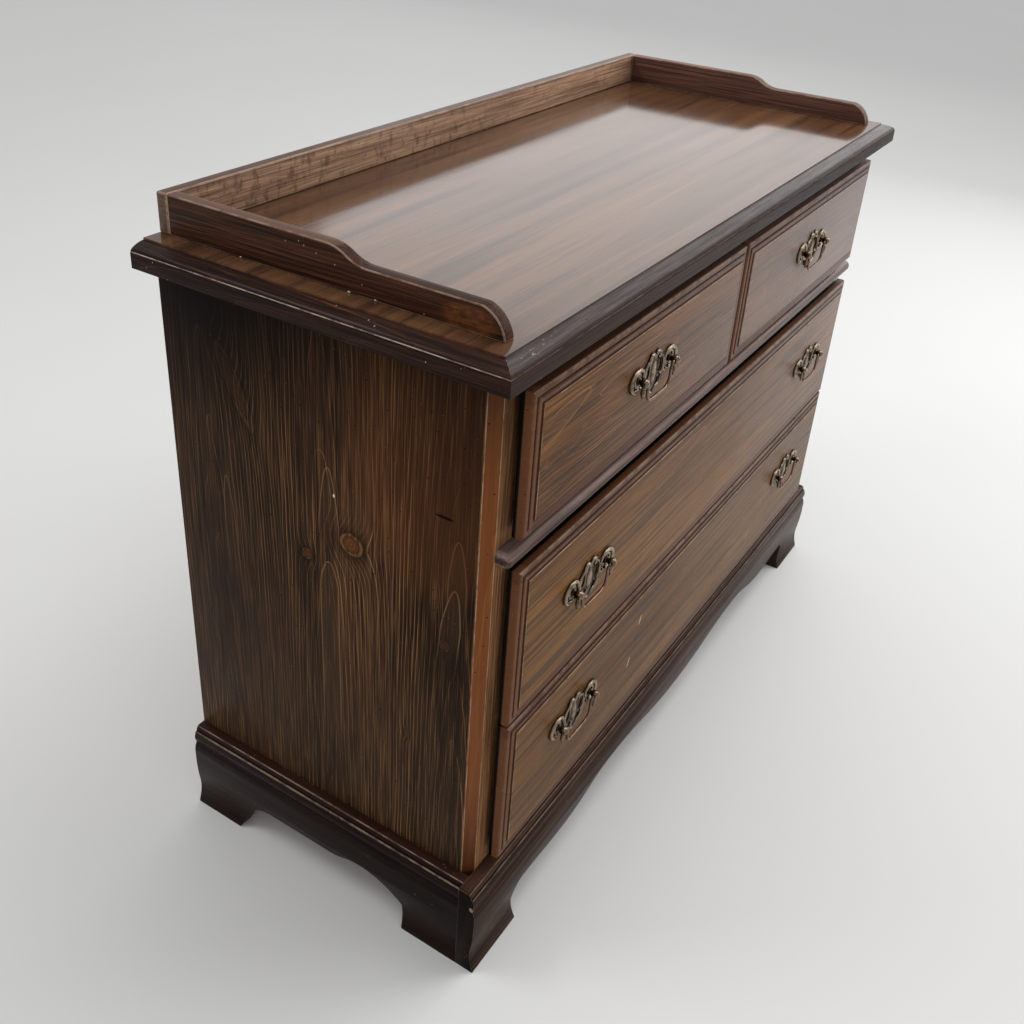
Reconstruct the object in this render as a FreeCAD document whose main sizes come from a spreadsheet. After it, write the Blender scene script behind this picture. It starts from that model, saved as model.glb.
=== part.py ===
import FreeCAD, Part
import math
import os
from types import SimpleNamespace

import Sketcher
from FreeCAD import Vector

# Driving dimensions, in millimetres
SIZES = [
    ("top_width", 1124, "top over its edge mouldings"),
    ("top_depth", 456, "top over its front moulding"),
    ("top_height", 803, "floor to the laminate"),
    ("top_thick", 27.5, "laminate to the underside of the edge moulding"),
    ("laminate_thick", 2, "laminate sheet"),
    ("edging_width", 18.5, "edge moulding, seen from above"),
    ("edging_face", 19, "upright face of the edge moulding"),
    ("edging_crown", 40, "radius of the edge moulding's crowned slope"),
    ("gallery_rise", 43.5, "gallery above the laminate, at the back"),
    ("gallery_low", 29, "gallery above the laminate, at the front"),
    ("gallery_thick", 15, "gallery rails"),
    ("gallery_inset", 21.5, "gallery inside the side edge of the laminate"),
    ("gallery_setback", 14, "gallery behind the front edge of the laminate"),
    ("gallery_round", 2, "softened edge of the gallery"),
    ("sweep_start", 222, "back of the gallery to the start of its fall"),
    ("sweep_run", 50, "length of the fall"),
    ("nose_run", 25, "length of the rounded gallery front"),
    ("nose_curve", 34, "radius of the rounded gallery front"),
    ("case_width", 1060, "case over its side panels"),
    ("case_depth", 425, "case over its face frame"),
    ("panel_thick", 18, "side panels"),
    ("case_bottom", 66, "floor to the lower end of the side panels"),
    ("corner_chamfer", 11, "chamfer on the front corners"),
    ("panel_lap", 12, "face frame in front of the side panel's edge"),
    ("frame_thick", 20, "face frame"),
    ("stile_width", 43, "front stiles"),
    ("centre_width", 40, "stile between the small drawers"),
    ("rabbet_deep", 6, "rabbet for the back panel, along the depth"),
    ("rabbet_wide", 10, "rabbet for the back panel, across the width"),
    ("back_thick", 4, "back panel"),
    ("fit_gap", 0.5, "loose fit of panels in their places"),
    ("bottom_rail_low", 84, "floor to the underside of the bottom rail"),
    ("bead_length", 1038, "waist moulding"),
    ("bead_height", 17, "waist moulding"),
    ("bead_flat", 12.4, "waist moulding, case to the start of its nose"),
    ("bead_curve", 9, "radius of the waist moulding's nose"),
    ("base_height", 132, "floor to the ledge of the base"),
    ("side_toe", 21, "toe of the base beyond the side panel"),
    ("front_toe", 25, "toe of the base beyond the face frame"),
    ("base_width", 1102, "base over its toes"),
    ("toe_rise", 3, "upright edge of the toe"),
    ("foot_hollow", 5, "depth of the hollow above the toe"),
    ("hollow_top", 36, "floor to the end of the hollow"),
    ("hollow_curve", 70, "radius of the hollow"),
    ("foot_swell", 1.6, "swell of the foot behind its toe"),
    ("swell_top", 90, "floor to the crown of the swell"),
    ("swell_curve", 300, "radius of the swell"),
    ("shoulder_curve", 26, "radius of the swell's shoulder"),
    ("groove_deep", 5.2, "quirk under the bead, behind the toe"),
    ("groove_height", 107, "floor to the quirk"),
    ("cap_bead_curve", 17.5, "radius of the bead"),
    ("cap_bead_top", 125, "floor to the top of the bead"),
    ("cap_bead_in", 6, "top of the bead behind the toe"),
    ("cap_step", 1.5, "small step above the bead"),
    ("cap_round", 6.5, "radius of the rounded ledge"),
    ("cap_ledge_in", 11.5, "ledge behind the toe"),
    ("front_foot", 457, "middle of the front to the end of a foot"),
    ("foot_return", 4, "how far the foot's end leans"),
    ("foot_end", 36, "height of the foot's end"),
    ("cove_height", 60, "floor to the small hollow beside the foot"),
    ("cove_place", 440, "middle of the front to that hollow"),
    ("cove_curve", 22.5, "radius of that hollow"),
    ("drop_height", 55, "floor to the drops of the apron"),
    ("drop_place", 345, "middle of the front to the outer drop"),
    ("arch_height", 76, "floor to the crown of the apron's arch"),
    ("arch_place", 215, "middle of the front to that crown"),
    ("side_front_foot", 80, "face frame to the end of the side's front foot"),
    ("side_arch_height", 64, "floor to the crown of the side's arch"),
    ("side_arch_place", 149, "face frame to that crown"),
    ("side_arch_curve", 84, "radius of the side's arch"),
    ("side_drop_place", 197, "face frame to the drop beside the arch"),
    ("side_back_foot", 74, "back to the end of the side's back foot"),
    ("side_back_lean", 14, "lean of that foot's end"),
    ("side_back_end", 26, "height of that foot's end"),
    ("side_back_cove", 128, "back to the small hollow beside that foot"),
    ("side_back_curve", 46, "radius of that hollow"),
    ("block_wide", 40, "corner blocks"),
    ("small_height", 159.5, "fronts of the small drawers"),
    ("large_height", 202, "fronts of the wide drawers"),
    ("fronts_width", 1006, "row of drawer fronts"),
    ("small_gap", 6, "between the two small drawers"),
    ("first_row", 148.5, "floor to the lowest drawer front"),
    ("row_gap", 3.5, "between the wide drawers"),
    ("waist_gap", 39, "between the wide and the small drawers"),
    ("overlay", 12.5, "front laps the frame above and below"),
    ("front_gap", 0.6, "front stands off the face frame"),
    ("front_thick", 22.4, "drawer fronts"),
    ("rebate_in", 18, "width of the rebate behind the lip"),
    ("rebate_deep", 7, "depth of the rebate behind the lip"),
    ("lip_height", 19.6, "lip of the front above its back face"),
    ("lip_round", 3, "rounded edge of the lip"),
    ("lip_flat", 8, "edge to the foot of the bead"),
    ("bead_in", 9.2, "edge to the top of the bead's foot"),
    ("bead_radius", 1.4, "hollow at the foot of the bead"),
    ("ledge_height", 20.8, "bead above the back face"),
    ("step_in", 16.4, "edge to the step of the field"),
    ("field_in", 17.4, "edge to the raised field"),
    ("box_gap", 2, "drawer box to the frame, each side"),
    ("side_thick", 12, "drawer sides and backs"),
    ("small_side", 110, "height of the small drawers' sides"),
    ("large_side", 150, "height of the wide drawers' sides"),
    ("side_lift", 0.5, "drawer side above its runner"),
    ("box_depth", 395, "length of the drawer sides"),
    ("groove_up", 10, "groove above the lower edge of the side"),
    ("groove_in", 6, "depth of the groove"),
    ("bottom_thick", 5, "drawer bottoms"),
    ("slip", 0.2, "play of the bottom in its groove"),
    ("back_drop", 12, "drawer back lower than its sides"),
    ("runner_wide", 42, "side runners"),
    ("runner_thick", 16, "runners"),
    ("centre_runner", 90, "runner under both small drawers"),
    ("pull_bore", 76, "post to post"),
    ("pull_offset", 354, "middle of a wide drawer to its pulls"),
    ("small_pull_lift", 9.5, "pull above the middle of a small drawer"),
    ("middle_pull_lift", 13, "pull above the middle of the middle drawer"),
    ("bottom_pull_lift", 20, "pull above the middle of the bottom drawer"),
    ("plate_thick", 2.2, "pull plates"),
    ("head_radius", 5.5, "ball head of a post"),
    ("head_stand", 10, "drawer front to the middle of the head"),
    ("neck_radius", 3, "neck of a post"),
    ("collar_radius", 4.5, "collar of a post"),
    ("collar_thick", 1.8, "collar of a post"),
    ("stem_radius", 2, "threaded stem of a post"),
    ("stem_hole", 2.4, "hole for the stem"),
    ("stem_end", 4.5, "stem behind the drawer front"),
    ("nut_flats", 7, "nut across its flats"),
    ("nut_thick", 3, "nut"),
    ("bail_radius", 1.8, "wire of a bail"),
    ("pin_play", 0.08, "play of the bail in its post"),
    ("bail_drop", 27, "post to the grip of the bail"),
    ("bail_neck", 4, "inner bend of the bail"),
    ("bail_bend", 9, "lower bend of the bail"),
    ("arm_inset", 9.7, "post to the arm of the bail"),
    ("pin_reach", 4.5, "end of the bail past the post's middle"),
    ("screw_inset", 13, "side of the case to the back panel's screws"),
    ("screw_low", 180, "floor to the lowest screw"),
    ("screw_pitch", 140, "screw to screw"),
    ("screw_head", 3.6, "screw head radius"),
    ("screw_head_thick", 1.6, "screw head"),
    ("screw_radius", 1.75, "screw shank"),
    ("screw_length", 14, "screw shank"),
]
SCREWS_PER_SIDE = 5

LEFT = 1
RIGHT = -1

doc = FreeCAD.newDocument("dresser")
sheet = doc.addObject("Spreadsheet::Sheet", "dims")
for row, (alias, number, meaning) in enumerate(SIZES, start=1):
    sheet.set(f"A{row}", meaning)
    sheet.set(f"B{row}", str(number))
    sheet.setAlias(f"B{row}", alias)
doc.recompute()


class Dim:
    """A size: its number now, and the sheet formula that the model stays bound to."""

    def __init__(self, value, text):
        self.value = value
        self.text = text

    def __add__(self, other):
        other = as_dim(other)
        return Dim(self.value + other.value, f"({self.text} + {other.text})")

    def __sub__(self, other):
        other = as_dim(other)
        return Dim(self.value - other.value, f"({self.text} - {other.text})")

    def __rsub__(self, other):
        return as_dim(other) - self

    def __mul__(self, other):
        other = as_dim(other)
        return Dim(self.value * other.value, f"({self.text} * {other.text})")

    def __truediv__(self, other):
        other = as_dim(other)
        return Dim(self.value / other.value, f"({self.text} / {other.text})")

    def __neg__(self):
        return self * -1

    __radd__ = __add__
    __rmul__ = __mul__


def as_dim(size):
    return size if isinstance(size, Dim) else Dim(size, str(size))


d = SimpleNamespace(**{alias: Dim(number, f"dims.{alias}") for alias, number, _ in SIZES})

# Planes that the pieces share: the origin is under the middle of the whole, pulls included
half_case = d.case_width / 2
half_fronts = d.fronts_width / 2
half_laminate = d.top_width / 2 - d.edging_width
half_gallery = half_laminate - d.gallery_inset
back = (d.case_depth + d.front_gap + d.front_thick + d.head_stand + d.head_radius) / 2
frame_face = back - d.case_depth
front_back = frame_face - d.front_gap
field_face = front_back - d.front_thick
laminate_front = back - d.top_depth + d.edging_width
top_under = d.top_height - d.top_thick
inner_stile = half_case - d.stile_width

# Floor to the lower edge of each row of fronts
bottom_row = d.first_row
middle_row = bottom_row + d.large_height + d.row_gap
small_row = middle_row + d.large_height + d.waist_gap


def sketch_on(body, role, name, offset=None):
    """Sketch on one of the body's origin planes, moved along the plane's normal."""
    sketch = body.newObject("Sketcher::SketchObject", name)
    plane = next(f for f in body.Origin.OriginFeatures if f.Role == role)
    sketch.AttachmentSupport = [(plane, "")]
    sketch.MapMode = "FlatFace"
    if offset is not None:
        sketch.setExpression("AttachmentOffset.Base.z", as_dim(offset).text)
    return sketch


def hold(sketch, kind, axis, edge, end, size):
    """Keep one end of an edge at a bound distance from the sketch's origin."""
    if size.value == 0:
        sketch.addConstraint(Sketcher.Constraint("PointOnObject", edge, end, axis))
        return
    index = sketch.addConstraint(Sketcher.Constraint(kind, -1, 1, edge, end, size.value))
    sketch.setExpression(f"Constraints[{index}]", size.text)


def arc_between(start, end, turn, radius):
    """Short arc from start to end, turning left or right, drawn counter-clockwise."""
    chord = end - start
    rise = math.sqrt(radius ** 2 - (chord.Length / 2) ** 2)
    leftward = Vector(-chord.y, chord.x, 0).normalize()
    centre = start + chord / 2 + leftward * (rise * turn)
    first, last = (start, end) if turn == LEFT else (end, start)
    angles = [math.atan2(p.y - centre.y, p.x - centre.x) for p in (first, last)]
    if angles[1] < angles[0]:
        angles[1] += 2 * math.pi
    return Part.ArcOfCircle(Part.Circle(centre, Vector(0, 0, 1), radius), *angles)


def draw(sketch, corners, closed=True):
    """Straight edges and arcs through corners, each (across, up) or (across, up, turn, radius)
    where an arc leads on to the next corner. Every corner and radius is bound to the sheet."""
    corners = [(as_dim(c[0]), as_dim(c[1]), *c[2:]) for c in corners]
    points = [Vector(c[0].value, c[1].value, 0) for c in corners]
    edges = len(corners) if closed else len(corners) - 1
    first = sketch.GeometryCount
    ends = []
    for i in range(edges):
        start, end = points[i], points[(i + 1) % len(points)]
        if len(corners[i]) == 2:
            sketch.addGeometry(Part.LineSegment(start, end), False)
            ends.append((1, 2))
        else:
            turn, radius = corners[i][2], as_dim(corners[i][3])
            sketch.addGeometry(arc_between(start, end, turn, radius.value), False)
            ends.append((1, 2) if turn == LEFT else (2, 1))
    for i in range(edges if closed else edges - 1):
        following = (i + 1) % edges
        sketch.addConstraint(
            Sketcher.Constraint("Coincident", first + i, ends[i][1], first + following, ends[following][0])
        )
    for i, corner in enumerate(corners):
        edge, end = (i, ends[i][0]) if i < edges else (edges - 1, ends[edges - 1][1])
        hold(sketch, "DistanceX", -2, first + edge, end, corner[0])
        hold(sketch, "DistanceY", -1, first + edge, end, corner[1])
        if len(corner) == 4 and i < edges:
            radius = as_dim(corner[3])
            index = sketch.addConstraint(Sketcher.Constraint("Radius", first + i, radius.value))
            sketch.setExpression(f"Constraints[{index}]", radius.text)


def draw_hole(sketch, across, up, radius):
    """Circle with its middle and radius bound to the sheet."""
    across, up, radius = as_dim(across), as_dim(up), as_dim(radius)
    middle = Vector(across.value, up.value, 0)
    edge = sketch.addGeometry(Part.Circle(middle, Vector(0, 0, 1), radius.value), False)
    hold(sketch, "DistanceX", -2, edge, 3, across)
    hold(sketch, "DistanceY", -1, edge, 3, up)
    index = sketch.addConstraint(Sketcher.Constraint("Radius", edge, radius.value))
    sketch.setExpression(f"Constraints[{index}]", radius.text)


def reverse(corners):
    """The same corners travelled the other way, with their arcs."""
    turned = []
    for i in range(len(corners) - 1, -1, -1):
        arc = corners[i - 1][2:] if i else ()
        turned.append((*corners[i][:2], -arc[0], arc[1]) if arc else corners[i][:2])
    return turned


def padded(name, role, loops, start, length):
    """Body made by extruding outlines from a start plane."""
    body = doc.addObject("PartDesign::Body", name)
    sketch = sketch_on(body, role, name + "_outline", start)
    for corners in loops:
        draw(sketch, corners)
    doc.recompute()
    pad = body.newObject("PartDesign::Pad", name + "_pad")
    pad.Profile = sketch
    pad.setExpression("Length", as_dim(length).text)
    doc.recompute()
    return body


def cut_through(body, role, loops, holes=()):
    """Cut outlines and round holes through the whole body, both ways from its origin plane."""
    before = body.Shape.Volume
    sketch = sketch_on(body, role, f"{body.Name}_cut")
    for corners in loops:
        draw(sketch, corners)
    for across, up, radius in holes:
        draw_hole(sketch, across, up, radius)
    doc.recompute()
    pocket = body.newObject("PartDesign::Pocket", f"{body.Name}_pocket")
    pocket.Profile = sketch
    pocket.Type = "ThroughAll"
    pocket.SideType = "Symmetric"
    doc.recompute()
    if not body.Shape.Volume < before - 1e-3:
        raise RuntimeError(f"{body.Name}: the cut removed nothing")
    return body


def board(name, corner, size):
    """Plain rectangular board, from its lowest corner and its size."""
    box = doc.addObject("Part::Box", name)
    for prop, length in zip(("Length", "Width", "Height"), size):
        box.setExpression(prop, as_dim(length).text)
    for axis, place in zip("xyz", corner):
        box.setExpression(f"Placement.Base.{axis}", as_dim(place).text)
    return box


def mirrored(name, source):
    """The same piece for the right-hand side."""
    twin = doc.addObject("Part::Mirroring", name)
    twin.Source = source
    twin.Normal = Vector(1, 0, 0)
    return twin


def grouped(name, pieces):
    """Separate solids that share one node."""
    group = doc.addObject("Part::Compound", name)
    group.Links = pieces
    return group


def ogee(start, end):
    """Two equal arcs that leave start and reach end level."""
    across = end[0] - start[0]
    up = end[1] - start[1]
    rising = as_dim(up).value > 0
    radius = (across * across + up * up) / (4 * (up if rising else -up))
    turn = LEFT if rising else RIGHT
    middle = ((start[0] + end[0]) / 2, (start[1] + end[1]) / 2)
    return [(*start, turn, radius), (*middle, -turn, radius)]


def back_screws():
    """Round-head screws that hold the back panel to the side panels."""
    screws, shanks = [], []
    rebate_face = back - d.rabbet_deep + d.back_thick
    for side, name in ((LEFT, "right"), (RIGHT, "left")):
        for count in range(SCREWS_PER_SIDE):
            place = (side * (half_case - d.screw_inset), rebate_face, d.screw_low + d.screw_pitch * count)
            solids = []
            for part, reach, radius, turn in (
                ("head", d.screw_head_thick, d.screw_head, -90),
                ("shank", d.screw_length, d.screw_radius, 90),
            ):
                rod = doc.addObject("Part::Cylinder", f"screw_{part}_{name}_{count + 1}")
                rod.setExpression("Radius", radius.text)
                rod.setExpression("Height", reach.text)
                rod.Placement.Rotation = FreeCAD.Rotation(Vector(1, 0, 0), turn)
                for axis, where in zip("xyz", place):
                    rod.setExpression(f"Placement.Base.{axis}", where.text)
                solids.append(rod)
            screw = doc.addObject("Part::Fuse", f"screw_{name}_{count + 1}")
            screw.Base, screw.Tool = solids
            screws.append(screw)
            shanks.append(solids[1])
    return screws, shanks


def drilled(name, piece, tools):
    """A piece with holes where the tools pass through it."""
    cut = doc.addObject("Part::Cut", name)
    cut.Base = piece
    cut.Tool = grouped(name + "_holes", tools)
    return cut


def case_pieces():
    """Side panels, face frame and back."""
    height = top_under - d.case_bottom
    inner = d.panel_thick - half_case
    shoulder = inner - d.rabbet_wide
    panel = padded("side_panel_blank", "XY_Plane", [[
        (-half_case, back), (-half_case, frame_face + d.panel_lap), (inner, frame_face + d.panel_lap),
        (inner, back - d.rabbet_deep), (shoulder, back - d.rabbet_deep), (shoulder, back),
    ]], d.case_bottom, height)
    screws, shanks = back_screws()
    left_panel = drilled("left_side_panel", panel, shanks[SCREWS_PER_SIDE:])
    back_half = half_case - d.panel_thick + d.rabbet_wide - d.fit_gap
    back_low = d.case_bottom + d.fit_gap
    back_blank = board(
        "back_panel_blank", (-back_half, back - d.rabbet_deep, back_low),
        (back_half * 2, d.back_thick, top_under - back_low))
    stile = padded("left_front_stile", "XY_Plane", [[
        (-half_case, frame_face + d.corner_chamfer), (d.corner_chamfer - half_case, frame_face),
        (-inner_stile, frame_face), (-inner_stile, frame_face + d.frame_thick),
        (inner, frame_face + d.frame_thick), (inner, frame_face + d.panel_lap),
        (-half_case, frame_face + d.panel_lap),
    ]], d.case_bottom, height)
    levels = {
        "bottom_rail": (d.bottom_rail_low, bottom_row + d.overlay),
        "lower_rail": (bottom_row + d.large_height - d.overlay, middle_row + d.overlay),
        "waist_rail": (middle_row + d.large_height - d.overlay, small_row + d.overlay),
        "top_rail": (small_row + d.small_height - d.overlay, top_under),
    }
    rails = [
        board(name, (-inner_stile, frame_face, low), (inner_stile * 2, d.frame_thick, high - low))
        for name, (low, high) in levels.items()
    ]
    centre_low, centre_high = levels["waist_rail"][1], levels["top_rail"][0]
    centre = board(
        "centre_stile", (-d.centre_width / 2, frame_face, centre_low),
        (d.centre_width, d.frame_thick, centre_high - centre_low))
    middle = small_row - d.waist_gap / 2
    nose = frame_face - d.bead_flat
    bead = padded("waist_moulding", "YZ_Plane", [[
        (frame_face, middle - d.bead_height / 2), (nose, middle - d.bead_height / 2, RIGHT, d.bead_curve),
        (nose, middle + d.bead_height / 2), (frame_face, middle + d.bead_height / 2),
    ]], -d.bead_length / 2, d.bead_length)
    return [
        left_panel, mirrored("right_side_panel", left_panel), stile, mirrored("right_front_stile", stile),
        *rails, centre, bead, drilled("back_panel", back_blank, shanks), grouped("back_screws", screws),
    ]


def edging_section(outer, inner):
    """Edge moulding: flat underside, upright face, crowned slope up to the laminate."""
    slope_top = d.top_height - d.laminate_thick
    return [
        (inner, top_under), (outer, top_under),
        (outer, top_under + d.edging_face, RIGHT, d.edging_crown), (inner, slope_top),
    ]


def top_pieces():
    """Core, laminate, mitred edge mouldings and the gallery that stands on them."""
    half_top = d.top_width / 2
    front = back - d.top_depth
    laminate_low = d.top_height - d.laminate_thick
    depth = back - laminate_front
    core = board(
        "top_panel", (-half_laminate, laminate_front, top_under),
        (half_laminate * 2, depth, laminate_low - top_under))
    laminate = board(
        "top_laminate", (-half_laminate, laminate_front, laminate_low),
        (half_laminate * 2, depth, d.laminate_thick))
    front_edge = padded(
        "top_moulding_front", "YZ_Plane", [edging_section(front, laminate_front)], -half_top, d.top_width)
    cut_through(front_edge, "XY_Plane", [
        [(side * half_top, front), (side * half_top, laminate_front), (side * half_laminate, laminate_front)]
        for side in (LEFT, RIGHT)
    ])
    side_edge = padded(
        "top_moulding_left", "XZ_Plane", [edging_section(-half_top, -half_laminate)], -back, d.top_depth)
    cut_through(side_edge, "XY_Plane", [
        [(-half_top, front), (-half_laminate, front), (-half_laminate, laminate_front)],
    ])
    return [
        core, laminate, front_edge, side_edge, mirrored("top_moulding_right", side_edge), *gallery_pieces(),
    ]


def gallery_pieces():
    """Rail along the back and two side rails that fall in an ogee and end in a rounded nose."""
    foot = d.top_height
    high = foot + d.gallery_rise
    low = foot + d.gallery_low
    butt = back - d.gallery_thick
    soft = d.gallery_round
    rail = padded("gallery_back_rail", "YZ_Plane", [[
        (butt, foot), (butt, high - soft, RIGHT, soft), (butt + soft, high),
        (back - soft, high, RIGHT, soft), (back, high - soft), (back, foot),
    ]], -half_gallery, half_gallery * 2)
    nose = laminate_front + d.gallery_setback
    fall_end = back - d.sweep_start - d.sweep_run
    side = padded("gallery_left_rail", "YZ_Plane", [[
        (butt, foot), (nose, foot, RIGHT, d.nose_curve), (nose + d.nose_run, low),
        *ogee((fall_end, low), (back - d.sweep_start, high)), (back - d.sweep_start, high), (butt, high),
    ]], -half_gallery, d.gallery_thick)
    return [rail, side, mirrored("gallery_right_rail", side)]


def base_section(face, toe):
    """Ogee bracket board: flared toe, hollow, swell, quirk, bead and rounded ledge."""
    return [
        (face, 0), (face - toe, 0), (face - toe, d.toe_rise, LEFT, d.hollow_curve),
        (face - toe + d.foot_hollow, d.hollow_top, RIGHT, d.swell_curve),
        (face - toe + d.foot_swell, d.swell_top, RIGHT, d.shoulder_curve),
        (face - toe + d.groove_deep, d.groove_height, RIGHT, d.cap_bead_curve),
        (face - toe + d.cap_bead_in, d.cap_bead_top),
        (face - toe + d.cap_bead_in + d.cap_step, d.cap_bead_top, RIGHT, d.cap_round),
        (face - toe + d.cap_ledge_in, d.base_height), (face, d.base_height),
    ]


def front_scallop():
    """Apron of the front: hollows beside the feet, drops, two arches and a middle drop."""
    below = -d.toe_rise
    cove = (-d.cove_place, d.cove_height)
    drop = (-d.drop_place, d.drop_height)
    arch = (-d.arch_place, d.arch_height)
    middle = (as_dim(0), d.drop_height)
    left_half = [
        (-d.front_foot, below), (-d.front_foot - d.foot_return, d.foot_end, RIGHT, d.cove_curve),
        *ogee(cove, drop), *ogee(drop, arch), *ogee(arch, middle), middle,
    ]
    right_half = [(-c[0], c[1], -c[2], c[3]) if len(c) == 4 else (-c[0], c[1]) for c in left_half]
    return left_half[:-1] + reverse(right_half)


def side_scallop():
    """Apron of a side: an arch behind the front foot, a long drop, a hollow at the back foot."""
    below = -d.toe_rise
    foot = frame_face + d.side_front_foot
    arch = (frame_face + d.side_arch_place, d.side_arch_height)
    drop = (frame_face + d.side_drop_place, d.drop_height)
    back_foot = back - d.side_back_foot
    return [
        (foot, below), (foot + d.foot_return, d.foot_end, RIGHT, d.side_arch_curve),
        *ogee(arch, drop), drop, (back - d.side_back_cove, d.drop_height, RIGHT, d.side_back_curve),
        (back_foot - d.side_back_lean, d.side_back_end), (back_foot, below),
    ]


def base_pieces():
    """Bracket base: front board lapping the ends of the side boards, a back rail, corner blocks."""
    front = padded(
        "base_front", "YZ_Plane", [base_section(frame_face, d.front_toe)], -d.base_width / 2, d.base_width)
    cut_through(front, "XZ_Plane", [front_scallop()])
    side = padded(
        "base_left", "XZ_Plane", [base_section(-half_case, d.side_toe)], -back, d.case_depth)
    cut_through(side, "YZ_Plane", [side_scallop()])
    inner = half_case - d.panel_thick
    rail = board(
        "base_back", (-inner, back - d.rabbet_deep - d.frame_thick, d.case_bottom),
        (inner * 2, d.frame_thick, d.base_height - d.case_bottom))
    blocks = [
        board(f"block_{x_name}_{y_name}", (x, y, 0), (d.block_wide, d.block_wide, d.case_bottom))
        for x_name, x in (("left", -half_case), ("right", half_case - d.block_wide))
        for y_name, y in (("front", frame_face), ("back", back - d.block_wide))
    ]
    return [front, side, mirrored("base_right", side), rail, grouped("base_corner_blocks", blocks)]


def runner_pieces():
    """Runners under the drawer sides, between the face frame and the back."""
    front = frame_face + d.frame_thick
    length = d.case_depth - d.frame_thick - d.rabbet_deep
    outer = half_case - d.panel_thick
    runners = []
    for row, level in (("bottom", bottom_row), ("middle", middle_row), ("small", small_row)):
        low = level + d.overlay - d.runner_thick
        for side, x in (("left", -outer), ("right", outer - d.runner_wide)):
            runners.append(
                board(f"runner_{row}_{side}", (x, front, low), (d.runner_wide, length, d.runner_thick)))
    low = small_row + d.overlay - d.runner_thick
    runners.append(board(
        "runner_small_middle", (-d.centre_runner / 2, front, low),
        (d.centre_runner, length, d.runner_thick)))
    return [grouped("drawer_runners", runners)]


def front_steps():
    """Border of a drawer front, from its back face round the lip to the raised field: inset, height,
    and the arc that follows."""
    return [
        (d.rebate_in, as_dim(0)), (d.rebate_in, d.rebate_deep), (as_dim(0), d.rebate_deep),
        (as_dim(0), d.lip_height - d.lip_round, RIGHT, d.lip_round),
        (d.lip_round, d.lip_height), (d.lip_flat, d.lip_height, LEFT, d.bead_radius),
        (d.bead_in, d.ledge_height), (d.step_in, d.ledge_height), (d.field_in, d.front_thick),
    ]


def front_section(low, high):
    """Drawer front in section, with the border along its lower and upper edges."""
    steps = front_steps()
    lower = [(front_back - h, low + i, *arc) for i, h, *arc in steps]
    upper = [(front_back - h, high - i, *([-arc[0], arc[1]] if arc else [])) for i, h, *arc in steps]
    return lower + reverse(upper)


def front_end_cut(edge, inward):
    """What the border takes off one end of the front."""
    clear = d.front_thick
    border = [
        (edge + i * inward, front_back - h, *([-arc[0] * inward, arc[1]] if arc else []))
        for i, h, *arc in front_steps()
    ]
    outside = [
        (edge - clear * inward, front_back), (edge - clear * inward, field_face - clear),
        (edge + d.field_in * inward, field_face - clear),
    ]
    return outside + reverse(border)


def drawer_pieces(name, left, right, box_left, box_right, low, height, side_height, pulls):
    """One drawer: moulded front, grooved sides, back, bottom, and the fixed part of its pulls."""
    front = padded(f"{name}_drawer_front", "YZ_Plane", [front_section(low, low + height)], left, right - left)
    cut_through(front, "XY_Plane", [front_end_cut(left, LEFT), front_end_cut(right, RIGHT)])
    posts = [(x + d.pull_bore / 2 * side, z) for x, z in pulls for side in (RIGHT, LEFT)]
    cut_through(front, "XZ_Plane", [], [(x, z, d.stem_hole) for x, z in posts])

    rear = front_back + d.box_depth
    foot = low + d.overlay + d.side_lift
    groove = foot + d.groove_up
    groove_top = groove + d.bottom_thick + d.slip
    sides = []
    for side, outer, inward in (("left", box_left + d.box_gap, LEFT), ("right", box_right - d.box_gap, RIGHT)):
        inner = outer + d.side_thick * inward
        slot = inner - d.groove_in * inward
        sides.append(padded(f"{name}_drawer_{side}_side", "XZ_Plane", [[
            (outer, foot), (inner, foot), (inner, groove), (slot, groove), (slot, groove_top),
            (inner, groove_top), (inner, foot + side_height), (outer, foot + side_height),
        ]], -rear, d.box_depth))
    inner_left = box_left + d.box_gap + d.side_thick
    inner_width = box_right - box_left - d.box_gap * 2 - d.side_thick * 2
    back_board = board(
        f"{name}_drawer_back", (inner_left, rear - d.side_thick, groove_top),
        (inner_width, d.side_thick, foot + side_height - d.back_drop - groove_top))
    tongue = d.groove_in - d.slip
    bottom = board(
        f"{name}_drawer_bottom", (inner_left - tongue, front_back, groove + d.slip / 2),
        (inner_width + tongue * 2, d.box_depth, d.bottom_thick))
    plates = [pull_plate(f"{name}_plate_{i + 1}", x, z) for i, (x, z) in enumerate(pulls)]
    fixings = []
    for i, (x, z) in enumerate(posts):
        fixings += [pull_post(f"{name}_post_{i + 1}", x, z), pull_nut(f"{name}_nut_{i + 1}", x, z)]
    return [
        front, *sides, back_board, bottom,
        grouped(f"{name}_backplates", plates), grouped(f"{name}_pull_posts", fixings),
    ]


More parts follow.
